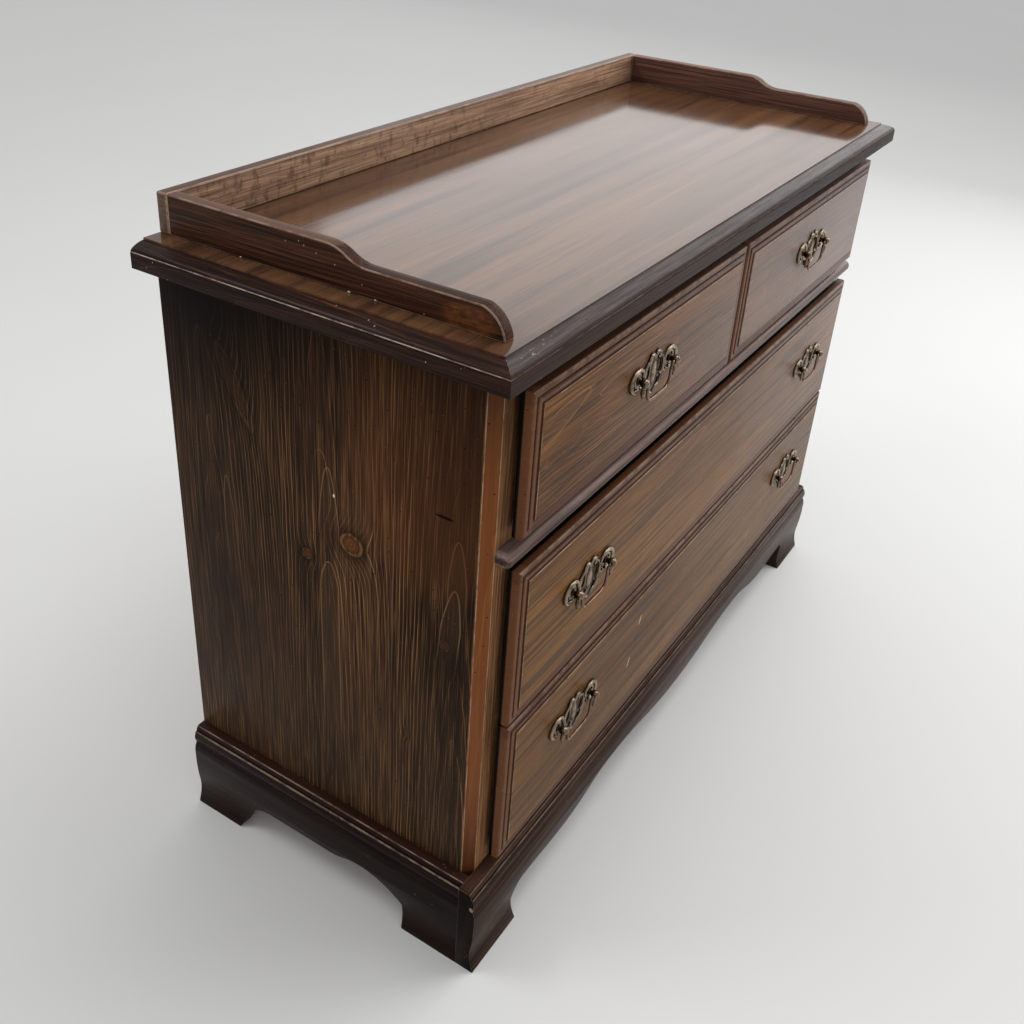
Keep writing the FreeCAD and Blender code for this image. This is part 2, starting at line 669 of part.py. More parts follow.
def pull_plate(name, x, z):
    """Pierced scroll plate: a crested middle, an eared lobe over each post, a pointed apron."""
    half = [
        (0, 18, RIGHT, 7), (8, 22, RIGHT, 6), (14, 15, LEFT, 8), (22, 9, LEFT, 8), (30, 12, RIGHT, 13),
        (45, 13, RIGHT, 11), (56, 2, RIGHT, 9), (49, -11, RIGHT, 12), (34, -12, LEFT, 7),
        (24, -13, LEFT, 9), (17, -22, RIGHT, 9), (8, -26, LEFT, 9), (0, -31),
    ]
    right_half = [(x + c[0], z + c[1], *c[2:]) for c in half]
    left_half = [(x - c[0], z + c[1], *([-c[2], c[3]] if len(c) == 4 else [])) for c in half]
    outline = right_half[:-1] + reverse(left_half)[:-1]
    plate = padded(name, "XZ_Plane", [outline], -field_face, d.plate_thick)
    piercings = [
        (17, 2, 5.5), (28, 5, 3), (28, -5, 3.2), (47, 6, 2.8), (47, -4, 2.8), (11, -13, 4.2),
    ]
    holes = [(x + i * side, z + j, r) for i, j, r in piercings for side in (LEFT, RIGHT)]
    posts = [(x + d.pull_bore / 2 * side, z, d.stem_hole) for side in (LEFT, RIGHT)]
    return cut_through(plate, "XZ_Plane", [], holes + posts)


def pull_post(name, x, z):
    """Turned post: threaded stem, collar on the plate, neck, and a ball head bored for the bail."""
    body = doc.addObject("PartDesign::Body", name)
    sketch = sketch_on(body, "XY_Plane", name + "_outline", z)
    sketch.setExpression("AttachmentOffset.Base.x", as_dim(x).text)
    seat = field_face - d.plate_thick
    middle = field_face - d.head_stand
    shoulder = math.sqrt(d.head_radius.value ** 2 - d.neck_radius.value ** 2)
    draw(sketch, [
        (0, front_back + d.stem_end), (d.stem_radius, front_back + d.stem_end), (d.stem_radius, seat),
        (d.collar_radius, seat), (d.collar_radius, seat - d.collar_thick),
        (d.neck_radius, seat - d.collar_thick), (d.neck_radius, middle + shoulder, RIGHT, d.head_radius),
        (d.head_radius, middle, RIGHT, d.head_radius), (0, middle - d.head_radius),
    ])
    doc.recompute()
    turning = body.newObject("PartDesign::Revolution", name + "_turning")
    turning.Profile = sketch
    turning.ReferenceAxis = (sketch, ["V_Axis"])
    turning.Angle = 360
    doc.recompute()
    return cut_through(body, "YZ_Plane", [], [(middle, z, d.bail_radius + d.pin_play)])


def pull_nut(name, x, z):
    """Hexagon nut behind the drawer front."""
    across = d.nut_flats / 2
    corner = across / math.cos(math.pi / 6)
    hexagon = [
        (x + corner * round(math.cos(math.pi / 3 * i), 6), z + corner * round(math.sin(math.pi / 3 * i), 6))
        for i in range(6)
    ]
    nut = padded(name, "XZ_Plane", [hexagon], -front_back - d.nut_thick, d.nut_thick)
    return cut_through(nut, "XZ_Plane", [], [(x, z, d.stem_radius)])


def bail(name, x, z):
    """Bail handle: one bent wire whose ends turn outwards into the two posts."""
    pin = d.pull_bore / 2 + d.pin_reach
    arm = d.pull_bore / 2 - d.arm_inset
    plane = field_face - d.head_stand
    left_half = [
        (x - pin, z), (x - arm - d.bail_neck, z, RIGHT, d.bail_neck), (x - arm, z - d.bail_neck),
        (x - arm, z - d.bail_drop + d.bail_bend, LEFT, d.bail_bend), (x - arm + d.bail_bend, z - d.bail_drop),
    ]
    right_half = [
        (x + arm - d.bail_bend, z - d.bail_drop, LEFT, d.bail_bend), (x + arm, z - d.bail_drop + d.bail_bend),
        (x + arm, z - d.bail_neck, RIGHT, d.bail_neck), (x + arm + d.bail_neck, z), (x + pin, z),
    ]
    body = doc.addObject("PartDesign::Body", name)
    spine = sketch_on(body, "XZ_Plane", name + "_path", -plane)
    draw(spine, left_half + right_half, closed=False)
    ring = sketch_on(body, "YZ_Plane", name + "_wire", x - pin)
    draw_hole(ring, plane, z, d.bail_radius)
    doc.recompute()
    wire = body.newObject("PartDesign::AdditivePipe", name + "_bend")
    wire.Profile = ring
    wire.Spine = (spine, [f"Edge{i + 1}" for i in range(len(left_half + right_half) - 1)])
    doc.recompute()
    return body


def all_drawers():
    """Two small drawers over two wide ones, with a bail in every pull."""
    small_inner = d.small_gap / 2
    middle_left = -(half_fronts + small_inner) / 2
    small_z = small_row + d.small_height / 2 + d.small_pull_lift
    middle_z = middle_row + d.large_height / 2 + d.middle_pull_lift
    bottom_z = bottom_row + d.large_height / 2 + d.bottom_pull_lift
    pulls = {
        "top_left": [(middle_left, small_z)],
        "top_right": [(-middle_left, small_z)],
        "middle": [(-d.pull_offset, middle_z), (d.pull_offset, middle_z)],
        "bottom": [(-d.pull_offset, bottom_z), (d.pull_offset, bottom_z)],
    }
    centre = d.centre_width / 2
    spans = {
        "top_left": (-half_fronts, -small_inner, -inner_stile, -centre),
        "top_right": (small_inner, half_fronts, centre, inner_stile),
        "middle": (-half_fronts, half_fronts, -inner_stile, inner_stile),
        "bottom": (-half_fronts, half_fronts, -inner_stile, inner_stile),
    }
    rows = {
        "top_left": (small_row, d.small_height, d.small_side),
        "top_right": (small_row, d.small_height, d.small_side),
        "middle": (middle_row, d.large_height, d.large_side),
        "bottom": (bottom_row, d.large_height, d.large_side),
    }
    pieces = []
    for name, places in pulls.items():
        pieces += drawer_pieces(name, *spans[name], *rows[name], places)
        for side, (x, z) in zip(("left", "right"), places):
            pieces.append(bail(f"{name}_{side}_bail" if len(places) > 1 else f"{name}_bail", x, z))
    return pieces


pieces = case_pieces() + top_pieces() + base_pieces() + runner_pieces() + all_drawers()
doc.recompute()

for thing in doc.Objects:
    if "Invalid" in thing.State or "Error" in thing.State:
        raise RuntimeError(f"{thing.Name} failed to build: {thing.State}")
for piece in pieces:
    if piece.Shape.isNull() or not piece.Shape.isValid() or piece.Shape.Volume <= 0:
        raise RuntimeError(f"{piece.Label} has no sound shape")

os.makedirs("parts", exist_ok=True)
for piece in pieces:
    piece.Shape.exportStep(f"parts/{piece.Label}.step")

whole = Part.makeCompound([piece.Shape for piece in pieces]).BoundBox
print(f"{len(pieces)} pieces, {whole.XLength:.1f} x {whole.YLength:.1f} x {whole.ZLength:.1f} mm")
print(f"middle of the whole: {(whole.XMin + whole.XMax) / 2:.2f}, {(whole.YMin + whole.YMax) / 2:.2f}")
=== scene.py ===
import math

import bmesh
import bpy
from mathutils import Matrix, Vector


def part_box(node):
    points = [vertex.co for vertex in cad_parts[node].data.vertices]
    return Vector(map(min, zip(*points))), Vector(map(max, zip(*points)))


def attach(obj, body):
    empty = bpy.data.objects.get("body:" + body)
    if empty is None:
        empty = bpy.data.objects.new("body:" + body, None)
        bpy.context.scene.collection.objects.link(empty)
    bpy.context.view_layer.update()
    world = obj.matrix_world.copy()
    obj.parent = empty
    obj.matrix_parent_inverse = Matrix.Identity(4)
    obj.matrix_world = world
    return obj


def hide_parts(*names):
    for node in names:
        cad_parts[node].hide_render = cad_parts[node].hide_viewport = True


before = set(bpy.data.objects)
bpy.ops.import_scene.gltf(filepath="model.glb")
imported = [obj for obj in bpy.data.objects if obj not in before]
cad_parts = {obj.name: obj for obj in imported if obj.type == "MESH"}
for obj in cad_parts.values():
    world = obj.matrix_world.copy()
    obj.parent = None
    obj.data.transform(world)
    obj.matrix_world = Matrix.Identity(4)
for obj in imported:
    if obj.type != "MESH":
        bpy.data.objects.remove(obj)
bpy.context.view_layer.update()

# Side panels: knotty pine boards glued edge to edge, stained a very dark brown and lacquered.
# Each stands full height inside the base, and the corner stile laps its front edge.
MM = 0.001
SIDES = (("left", -1), ("right", 1))


class Value:
    """A number that varies over a surface. Arithmetic on it adds Math nodes to its finish."""

    def __init__(self, finish, socket):
        self.finish = finish
        self.socket = socket

    def math(self, operation, *others):
        values = dict(enumerate((self, *others)))
        return self.finish.node("ShaderNodeMath", {"operation": operation}, values)

    def __add__(self, other):
        return self.math("ADD", other)

    def __sub__(self, other):
        return self.math("SUBTRACT", other)

    def __rsub__(self, other):
        return self.finish.node("ShaderNodeMath", {"operation": "SUBTRACT"}, {0: other, 1: self})

    def __mul__(self, other):
        return self.math("MULTIPLY", other)

    def __truediv__(self, other):
        return self.math("DIVIDE", other)

    def __pow__(self, other):
        return self.math("POWER", other)

    __radd__ = __add__
    __rmul__ = __mul__

    def ramp(self, low, high):
        """0 up to low, 1 from high on, smooth between; falls where low is above high."""
        return self.finish.node(
            "ShaderNodeMapRange", {"interpolation_type": "SMOOTHSTEP"},
            {"Value": self, "From Min": low, "From Max": high})


class Finish:
    """One material: the nodes that paint it, and the shader that they feed."""

    def __init__(self, name, uniform):
        self.material = bpy.data.materials.new(name)
        self.material.use_nodes = True
        self.tree = self.material.node_tree
        self.shader = self.tree.nodes["Principled BSDF"]
        for socket, value in uniform.items():
            self.shader.inputs[socket].default_value = value
        self.place = self.node("ShaderNodeTexCoord", output="Object")
        self.x, self.y, self.z = (
            self.node("ShaderNodeSeparateXYZ", None, {0: self.place}, axis) for axis in "XYZ")

    def node(self, kind, settings=None, inputs=None, output=0):
        """New node of a type, with its settings and its sockets' values or links, and one output of it."""
        node = self.tree.nodes.new(kind)
        for name, value in (settings or {}).items():
            setattr(node, name, value)
        for name, value in (inputs or {}).items():
            if isinstance(value, Value):
                self.tree.links.new(value.socket, node.inputs[name])
            else:
                node.inputs[name].default_value = value
        return Value(self, node.outputs[output])

    def noise(self, cells, seed=0.0, detail=2.0, roughness=0.5):
        """Cloudy pattern from 0 to 1 with so many cells to a metre along X, Y and Z."""
        moved = self.node("ShaderNodeMapping", None, {
            "Vector": self.place, "Scale": cells, "Location": (seed, seed * 1.7, seed * 0.6)})
        return self.node("ShaderNodeTexNoise", None, {
            "Vector": moved, "Scale": 1.0, "Detail": detail, "Roughness": roughness})

    def dots(self, cell, radius, keep, seed=0.0, turn=0.0):
        """Scattered spots in cells of a size along three turned axes. A share of the cells holds one
        each, and the radius is a part of the cell."""
        turned = self.node(
            "ShaderNodeMapping", None, {"Vector": self.place, "Rotation": (turn, turn, turn)})
        moved = self.node("ShaderNodeMapping", None, {
            "Vector": turned, "Scale": [1 / length for length in cell], "Location": (seed, seed, seed)})
        near = self.node("ShaderNodeTexVoronoi", None, {"Vector": moved, "Scale": 1.0}, "Distance")
        tint = self.node("ShaderNodeTexVoronoi", None, {"Vector": moved, "Scale": 1.0}, "Color")
        luck = self.node("ShaderNodeSeparateColor", None, {0: tint})
        return near.ramp(radius, radius * 0.6) * luck.ramp(keep, keep * 0.98)

    def spot(self, across, up, at, half):
        """Oval spot around a place: 1 inside, 0 outside."""
        aside, above = (across - at[0]) / half[0], (up - at[1]) / half[1]
        return (aside * aside + above * above).ramp(1.0, 0.4)

    def chance(self, number):
        """Share from 0 to 1 that is the same wherever the number is the same."""
        return self.node("ShaderNodeTexWhiteNoise", {"noise_dimensions": "1D"}, {"W": number})

    def worn(self):
        """How the face was marked when the piece was made: above 0 rubbed, on some faces also a painted
        highlight, and on the brass posts a socket painted dark as painted shade; below 0 a corner darkened
        with painted shade.
        """
        return self.node("ShaderNodeAttribute", {"attribute_name": "worn"}, None, "Fac")

    def mix(self, share, first, second):
        """Colour that is a share of the way from the first to the second."""
        return self.node("ShaderNodeMix", {"data_type": "RGBA"}, {0: share, 6: first, 7: second}, 2)

    def paint(self, colour, roughness=None, height=None, depth=None):
        """Link what varies to the shader, and hand over the material."""
        self.tree.links.new(colour.socket, self.shader.inputs["Base Color"])
        if roughness is not None:
            self.tree.links.new(roughness.socket, self.shader.inputs["Roughness"])
        if height is not None:
            bump = self.node("ShaderNodeBump", None, {"Height": height, "Distance": depth})
            self.tree.links.new(bump.socket, self.shader.inputs["Normal"])
        return self.material


def tone(red, green, blue):
    """Colour as it is seen, from 0 to 255, for a shader's socket."""
    levels = [c / 255 for c in (red, green, blue)]
    return (*[c / 12.92 if c <= 0.04045 else ((c + 0.055) / 1.055) ** 2.4 for c in levels], 1.0)


def stained_pine(name, grain, face, surface, shades, width=0.156, middle=0.0, pith=0.013, lean=0.035,
                 ring=0.0042, line=0.0013, seed=0.0, knots=(), specks=0.4, scratches=0.25, gloss=0.4,
                 sheen=0.12, dust=0.0, stain=None):
    """Lacquered pine in boards of one width. grain and face name the axes along and across the boards,
    and surface is the seen plane on the third axis. Each log's rings are worked out around a middle
    that lies behind that plane and leans away from it along the grain; where a ring comes out, a thin
    line stays light. A knot is (place along, place across, half length, half width, tilt, push on the
    rings, strength). dust is a haze seen at low angles, and stain may paint over the grain."""
    wood = Finish(name, {
        "IOR": 1.4, "Specular IOR Level": sheen, "Sheen Weight": dust, "Sheen Roughness": 0.25})
    axes = {"x": wood.x, "y": wood.y, "z": wood.z}
    third = next(a for a in "xyz" if a not in (grain, face))
    along, across = axes[grain], axes[face]
    depth = (axes[third] - surface).math("ABSOLUTE")

    def cells(long, wide):
        return [long if a == grain else wide for a in "xyz"]

    board = ((across - middle) / width + 0.5).math("FLOOR")
    luck = wood.chance(board + seed)
    fortune = wood.chance(board * 3.7 + seed + 0.5)
    sway = wood.noise(cells(2.5, 6.0), seed, 1.0) - 0.5
    drift = wood.noise(cells(1.8, 5.0), seed + 7.3, 1.0) - 0.5
    wobble = wood.noise(cells(12.0, 40.0), seed + 3.1, 2.0) - 0.5
    aside = across - middle - board * width + (luck - 0.5) * (width * 0.25) + sway * 0.016
    slope = luck * (lean * 0.6) + lean * 0.7
    below = along * slope + fortune * 0.012 + drift * 0.012 + pith - depth
    fall = below * slope
    radius = (aside * aside + below * below) ** 0.5
    steep = (aside * aside + fall * fall) ** 0.5 / radius
    knotted = []
    for knot_along, knot_across, half_long, half_wide, tilt, push, strength in knots:
        far_along = (along - knot_along) / half_long
        far_across = (across - knot_across - (along - knot_along) * tilt) / half_wide
        far = (far_along * far_along + far_across * far_across) ** 0.5 + wobble * 0.8
        radius = radius + (far * far * -0.2).math("EXPONENT") * push
        knotted.append((far, strength))
    count = radius / ring + wobble * 0.7
    step = count.math("FRACT")
    fate = wood.chance(count.math("FLOOR") + board * 17.0 + seed * 5.0)
    crisp = ((1.0 - step) * ring / (steep + 0.02)).ramp(line, line * 0.25)
    patch = wood.noise(cells(3.0, 16.0), seed + 11.0, 2.0)
    broken = wood.noise(cells(6.0, 240.0), seed + 17.0, 2.0, 0.5)
    streak = wood.noise(cells(4.0, 260.0), seed + 13.0, 2.0, 0.6)
    fibre = wood.noise(cells(14.0, 900.0), seed, 2.0, 0.6)
    cloud = wood.noise(cells(2.0, 9.0), seed + 5.0, 3.0)
    light = crisp * (fate * 0.65 + 0.35) * (patch.ramp(0.36, 0.62) * 0.8 + 0.2)
    light = light * (broken.ramp(0.34, 0.6) * 0.6 + 0.4)
    colour = wood.mix(cloud.ramp(0.32, 0.68), tone(*shades["dark"]), tone(*shades["mid"]))
    colour = wood.mix(step.ramp(0.3, 1.0) * 0.3, colour, tone(*shades["mid"]))
    colour = wood.mix(streak.ramp(0.56, 0.36) * 0.7, colour, tone(*shades["deep"]))
    colour = wood.mix(light, colour, tone(*shades["line"]))
    colour = wood.mix(fibre.ramp(0.54, 0.38) * 0.5, colour, tone(*shades["deep"]))
    colour = wood.mix(fibre.ramp(0.52, 0.7) * 0.3, colour, tone(*shades["line"]))
    for far, strength in knotted:
        colour = wood.mix(far.ramp(2.6, 1.0) * (strength * 0.85), colour, tone(*shades["deep"]))
        colour = wood.mix(far.ramp(1.0, 0.7) * (strength * 0.7), colour, tone(*shades["knot"]))
        rings = (far * 2.6).math("FRACT").ramp(0.5, 1.0) * far.ramp(1.1, 0.9)
        colour = wood.mix(rings * (strength * 0.6), colour, tone(*shades["deep"]))
        rim = (far - 1.1).math("ABSOLUTE").ramp(0.2, 0.05) * (broken.ramp(0.4, 0.6) * 0.6 + 0.2)
        colour = wood.mix(rim * (strength * 0.6), colour, tone(*shades["line"]))
    if stain:
        colour = stain(wood, colour)
    if specks:
        colour = wood.mix(wood.dots((0.012,) * 3, 0.1, specks, seed) * 0.85, colour, tone(14, 9, 7))
        chipped = wood.dots((0.055,) * 3, 0.02, specks * 0.5, seed + 3) * 0.5
        colour = wood.mix(chipped, colour, tone(*shades["worn"]))
    if scratches:
        dashes = wood.dots((0.06, 0.004, 0.004), 0.14, 0.07, seed, 0.7)
        colour = wood.mix(dashes * scratches, colour, tone(*shades["worn"]))
    chips = wood.noise((45.0, 45.0, 45.0), seed + 2.0, 4.0, 0.65)
    edge = wood.worn()
    # Marks above 0 take the worn colour: wear, and on some faces also a painted highlight.
    rubbed = edge.math("MAXIMUM", 0.0) * (chips.ramp(0.36, 0.6) * 0.7 + 0.25)
    colour = wood.mix(rubbed, colour, tone(*shades["worn"]))
    # Marks below 0 are darkened: painted shade in grooves and corners.
    colour = wood.mix(edge.ramp(0.0, -1.0) * 0.8, colour, tone(24, 14, 11))
    cloudy = wood.noise((7.0, 7.0, 7.0), seed + 9.0, 3.0)
    roughness = gloss + (cloudy - 0.5) * 0.16 + rubbed * 0.15
    return wood.paint(colour, roughness, light * 0.5 + fibre * 0.5, 0.0002)


def prism(section, axis, start, end):
    """Straight length of one section, given by its corners in the plane square to the axis."""
    bm = bmesh.new()
    spot = {
        "x": lambda a, b: (start, a, b), "y": lambda a, b: (a, start, b), "z": lambda a, b: (a, b, start),
    }[axis]
    face = bm.faces.new([bm.verts.new(spot(a, b)) for a, b in section])
    grown = bmesh.ops.extrude_face_region(bm, geom=[face])["geom"]
    reach = Vector([end - start if a == axis else 0 for a in "xyz"])
    bmesh.ops.translate(bm, vec=reach, verts=[g for g in grown if isinstance(g, bmesh.types.BMVert)])
    bmesh.ops.recalc_face_normals(bm, faces=bm.faces)
    return bm


def soften(bm, width, rub, segments=2, least=35, chosen=None):
    """Round the outer edges that turn by at least so many degrees, and mark the new faces as rubbed."""
    layer = bm.faces.layers.float.get("worn") or bm.faces.layers.float.new("worn")
    turn = math.radians(least)
    sharp = [e for e in bm.edges if e.is_manifold and e.is_convex and e.calc_face_angle(0) > turn]
    edges = [e for e in sharp if chosen is None or chosen(e)]
    made = bmesh.ops.bevel(
        bm, geom=edges, offset=width, offset_type="OFFSET", segments=segments, profile=0.5,
        affect="EDGES", clamp_overlap=True, material=-1)
    for face in made["faces"]:
        face[layer] = rub
    return bm


CREASE = math.radians(32)


def piece(name, bm, material, body, slot, *nodes):
    """Finished piece: a smooth mesh with crisp corners that rides on its body in place of CAD nodes."""
    mesh = bpy.data.meshes.new(name)
    for face in bm.faces:
        face.smooth = True
    bm.to_mesh(mesh)
    bm.free()
    mesh.set_sharp_from_angle(angle=CREASE)
    mesh.materials.append(material)
    thing = bpy.data.objects.new(name, mesh)
    bpy.context.scene.collection.objects.link(thing)
    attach(thing, body)
    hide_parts(*nodes)


PANEL_SHADES = {
    "deep": (22, 15, 11), "dark": (44, 31, 23), "mid": (80, 55, 38), "line": (180, 129, 80),
    "knot": (132, 78, 48), "worn": (170, 136, 104),
}
RABBET_DEEP = 6 * MM
RABBET_WIDE = 10 * MM
PANEL_EDGE = 0.7 * MM
panel_knots = [
    (0.487, 0.038, 0.006, 0.006, 0.0, 0.006, 0.9), (0.525, -0.024, 0.012, 0.013, 0.0, 0.016, 0.8),
    (0.661, 0.132, 0.036, 0.009, 0.47, 0.008, 0.5), (0.30, -0.10, 0.004, 0.003, 0.0, 0.004, 0.3),
    (0.450, -0.146, 0.006, 0.005, 0.0, 0.004, 0.6),
]


def spear(wood, colour, along, across, figure, outline, inside):
    """Pointed figure where one ring just comes out of the face: a light outline and a paler inside.
    The figure is (tip along, tip across, half width, run to full width, length, lean)."""
    tip_along, tip_across, half, run, length, lean = figure
    down = tip_along - along
    aside = (across - tip_across - down * lean) / half
    within = (down / run).math("MINIMUM", 1.0) - aside * aside
    slope = (aside * aside * (4 / half ** 2) + 1 / run ** 2) ** 0.5
    from_edge = within.math("ABSOLUTE") / slope
    faded = down.ramp(length, length * 0.5)
    colour = wood.mix(within.ramp(0.0, 0.25) * faded * 0.5, colour, tone(*inside))
    return wood.mix(from_edge.ramp(1.2 * MM, 0.4 * MM) * faded * 0.7, colour, tone(*outline))


panel_spears = [
    (0.608, 0.006, 0.0135, 0.07, 0.10, 0.0), (0.489, 0.007, 0.0125, 0.03, 0.30, 0.0),
    (0.585, -0.159, 0.011, 0.05, 0.10, 0.0), (0.525, -0.157, 0.012, 0.05, 0.12, 0.08),
    (0.542, 0.154, 0.008, 0.06, 0.16, -0.03),
]


def panel_stain_and_painted_shade(wood, colour):
    """Figures in the grain, long dark smudges, and warmer before the middle. Painted shade darkens
    the panel under the top and towards the back, and a painted reflection of the floor greys its
    lower part."""
    for figure in panel_spears:
        colour = spear(wood, colour, wood.z, wood.y, figure, (138, 102, 70), (70, 52, 39))
    smudge = wood.noise((14.0, 14.0, 3.5), 21.0, 3.0, 0.55).ramp(0.5, 0.66) * wood.z.ramp(0.15, 0.4)
    colour = wood.mix(smudge * 0.55, colour, tone(25, 17, 13))
    # Painted shade: darker under the top, and towards the back except near the foot.
    painted_shade = wood.z.ramp(0.56, 0.78) * 0.5 + wood.y.ramp(-0.06, 0.16) * wood.z.ramp(0.1, 0.46) * 0.5
    warm = wood.spot(wood.y, wood.z, (-0.12, 0.66), (0.12, 0.18))
    colour = wood.mix(warm * 0.2, colour, tone(128, 76, 42))
    # Greyer towards the foot: a painted reflection of the floor.
    colour = wood.mix(wood.z.ramp(0.5, 0.28) * 0.25, colour, tone(72, 55, 43))
    return wood.mix(painted_shade, colour, tone(18, 12, 10))


def panel_marks(wood, colour):
    """A dark check and a small chip, on the left panel."""
    colour = panel_stain_and_painted_shade(wood, colour)
    check = wood.spot(wood.y, wood.z, (-0.141, 0.607), (0.013, 0.0022))
    colour = wood.mix(check, colour, tone(14, 9, 8))
    chip = wood.spot(wood.y, wood.z, (-0.002, 0.577), (0.0016, 0.0026))
    return wood.mix(chip, colour, tone(228, 208, 184))


for side, sign in SIDES:
    low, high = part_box(f"{side}_side_panel")
    outer, inner = (low.x, high.x) if sign < 0 else (high.x, low.x)
    shoulder = inner + sign * RABBET_WIDE
    section = [
        (outer, low.y), (inner, low.y), (inner, high.y - RABBET_DEEP), (shoulder, high.y - RABBET_DEEP),
        (shoulder, high.y), (outer, high.y),
    ]
    panel = soften(prism(section, "z", low.z, high.z), PANEL_EDGE, rub=0.4)
    finish = stained_pine(
        f"{side}_panel_pine", "z", "y", outer, PANEL_SHADES, seed=0.31, knots=panel_knots, sheen=0.05,
        stain=panel_marks if sign < 0 else panel_stain_and_painted_shade)
    piece(f"{side}_side_board", panel, finish, "case", "knotty_pine", f"{side}_side_panel")

# Face frame: stiles with chamfered outer corners, and rails between them, all of the same stained pine.
# The stiles show beside the drawers, the rails only as dark strips between the drawer fronts; the rails
# and the centre stile take a near-black copy of the stain, painted shade of those gaps.
STILE_SHADES = {
    "deep": (60, 41, 29), "dark": (130, 89, 60), "mid": (162, 115, 76), "line": (196, 150, 102),
    "knot": (130, 80, 48), "worn": (214, 186, 152),
}
CHAMFER = 11 * MM
STILE_FACE = 42.2 * MM
STILE_EDGE = 0.6 * MM


def chamfer_stain_and_shade(outer, sign):
    """The chamfer was rubbed down to an orange brown. The stile is darker at the top, a painted shade
    under the moulding, and the chamfer darker towards its foot. The inner side, inside the opening,
    is painted nearly black as painted shade."""
    def stain(wood, colour):
        inward = (wood.x - outer) * -sign
        on_chamfer = inward.ramp(CHAMFER * 1.05, CHAMFER * 0.95)
        colour = wood.mix(on_chamfer * 0.85, colour, tone(126, 70, 31))
        # Painted shade at the top of the stile, and darker on the chamfer towards its foot.
        painted_shade = wood.z.ramp(0.62, 0.77) * 0.62 + on_chamfer * wood.z.ramp(0.31, 0.13) * 0.6
        colour = wood.mix(painted_shade, colour, tone(48, 29, 20))
        # Nearly black inside the opening: painted shade.
        return wood.mix(inward.ramp(STILE_FACE, STILE_FACE + 0.7 * MM), colour, tone(9, 6, 5))
    return stain


for side, sign in SIDES:
    low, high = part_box(f"{side}_front_stile")
    panel_low, panel_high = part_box(f"{side}_side_panel")
    outer, inner = (low.x, high.x) if sign < 0 else (high.x, low.x)
    panel_inner = panel_high.x if sign < 0 else panel_low.x
    section = [
        (outer, low.y + CHAMFER), (outer - sign * CHAMFER, low.y), (inner, low.y), (inner, high.y),
        (panel_inner, high.y), (panel_inner, panel_low.y), (outer, panel_low.y),
    ]
    stile = soften(
        prism(section, "z", low.z, high.z), STILE_EDGE, rub=0.45,
        chosen=lambda e: all(abs(v.co.x - outer) < CHAMFER + MM for v in e.verts))
    finish = stained_pine(
        f"{side}_stile_pine", "z", "x", low.y, STILE_SHADES, middle=inner, ring=0.0034, line=0.001,
        seed=1.7 + sign, specks=0.9, sheen=0.12, stain=chamfer_stain_and_shade(outer, sign))
    piece(f"{side}_corner_stile", stile, finish, "case", "dark_pine", f"{side}_front_stile")

# Near-black copy of the stiles' stain for the rails and the centre stile: painted shade of the gaps.
RAIL_SHADES_IN_SHADE = dict(STILE_SHADES, deep=(12, 8, 6), dark=(20, 13, 10), mid=(32, 20, 14), line=(52, 32, 22))


def dress(material, *nodes):
    """Give its material to each CAD node that stays as it is."""
    for name in nodes:
        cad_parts[name].material_slots[0].material = material


shaded_rail_pine = stained_pine("shaded_rail_pine", "x", "z", low.y, RAIL_SHADES_IN_SHADE, ring=0.0034, seed=2.4, specks=0.3)
dress(shaded_rail_pine, "top_rail", "waist_rail", "lower_rail", "bottom_rail")
shaded_centre_pine = stained_pine(
    "shaded_centre_stile_pine", "z", "x", low.y, RAIL_SHADES_IN_SHADE, ring=0.0034, seed=4.1, specks=0.3)
dress(shaded_centre_pine, "centre_stile")

# Waist moulding: a half-round bead of dark stained pine, nailed across the face frame.
# Its ends are rounded over and rubbed pale; its top is scuffed, and its upper half carries a painted grey
# highlight.
BEAD_SHADES = {
    "deep": (34, 21, 18), "dark": (54, 34, 28), "mid": (80, 52, 42), "line": (112, 78, 62),
    "knot": (90, 60, 40), "worn": (206, 178, 158),
}
NOSE = 9 * MM
BEAD_END = 4 * MM
low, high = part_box("waist_moulding")


def arc(start, end, radius, turn, steps=8):
    """Points of a short arc that turns left (1) or right (-1), without its end."""
    start, end = Vector(start), Vector(end)
    chord = end - start
    rise = math.sqrt(radius ** 2 - (chord.length / 2) ** 2)
    centre = (start + end) / 2 + Vector((-chord.y, chord.x)).normalized() * (rise * turn)
    sweep = 2 * math.asin(chord.length / 2 / radius) * turn
    spoke = start - centre
    return [tuple(centre + Matrix.Rotation(sweep * i / steps, 2) @ spoke) for i in range(steps)]


def at_bead_end(edge):
    """Whether an edge runs around an end of the bead, in front of the face frame."""
    first, second = (v.co for v in edge.verts)
    return abs(first.x - second.x) < MM and min(first.y, second.y) < high.y - MM


nose_start = low.y + NOSE - math.sqrt(NOSE ** 2 - ((high.z - low.z) / 2) ** 2)
bead_section = [
    (high.y, low.z), *arc((nose_start, low.z), (nose_start, high.z), NOSE, -1, 12), (nose_start, high.z),
    (high.y, high.z),
]
bead = prism(bead_section, "x", low.x, high.x)
soften(bead, BEAD_END, rub=0.2, segments=4, least=60, chosen=at_bead_end)
bead_middle = (low.z + high.z) / 2


def painted_top_highlight(wood, colour):
    """The upper half is painted grey along the grain: a painted highlight, with some scuffing."""
    drawn = wood.noise((9.0, 260.0, 260.0), 51.0, 3.0, 0.6)
    dull = (wood.z - bead_middle).ramp(0.5 * MM, 4 * MM) * (drawn.ramp(0.35, 0.65) * 0.25 + 0.2)
    return wood.mix(dull, colour, tone(176, 152, 142))


bead_pine = stained_pine(
    "bead_pine", "x", "z", low.y, BEAD_SHADES, middle=bead_middle, seed=5.2, specks=0.3, scratches=0.6,
    gloss=0.26, sheen=0.15, stain=painted_top_highlight)
piece("waist_bead", bead, bead_pine, "case", "dark_pine", "waist_moulding")

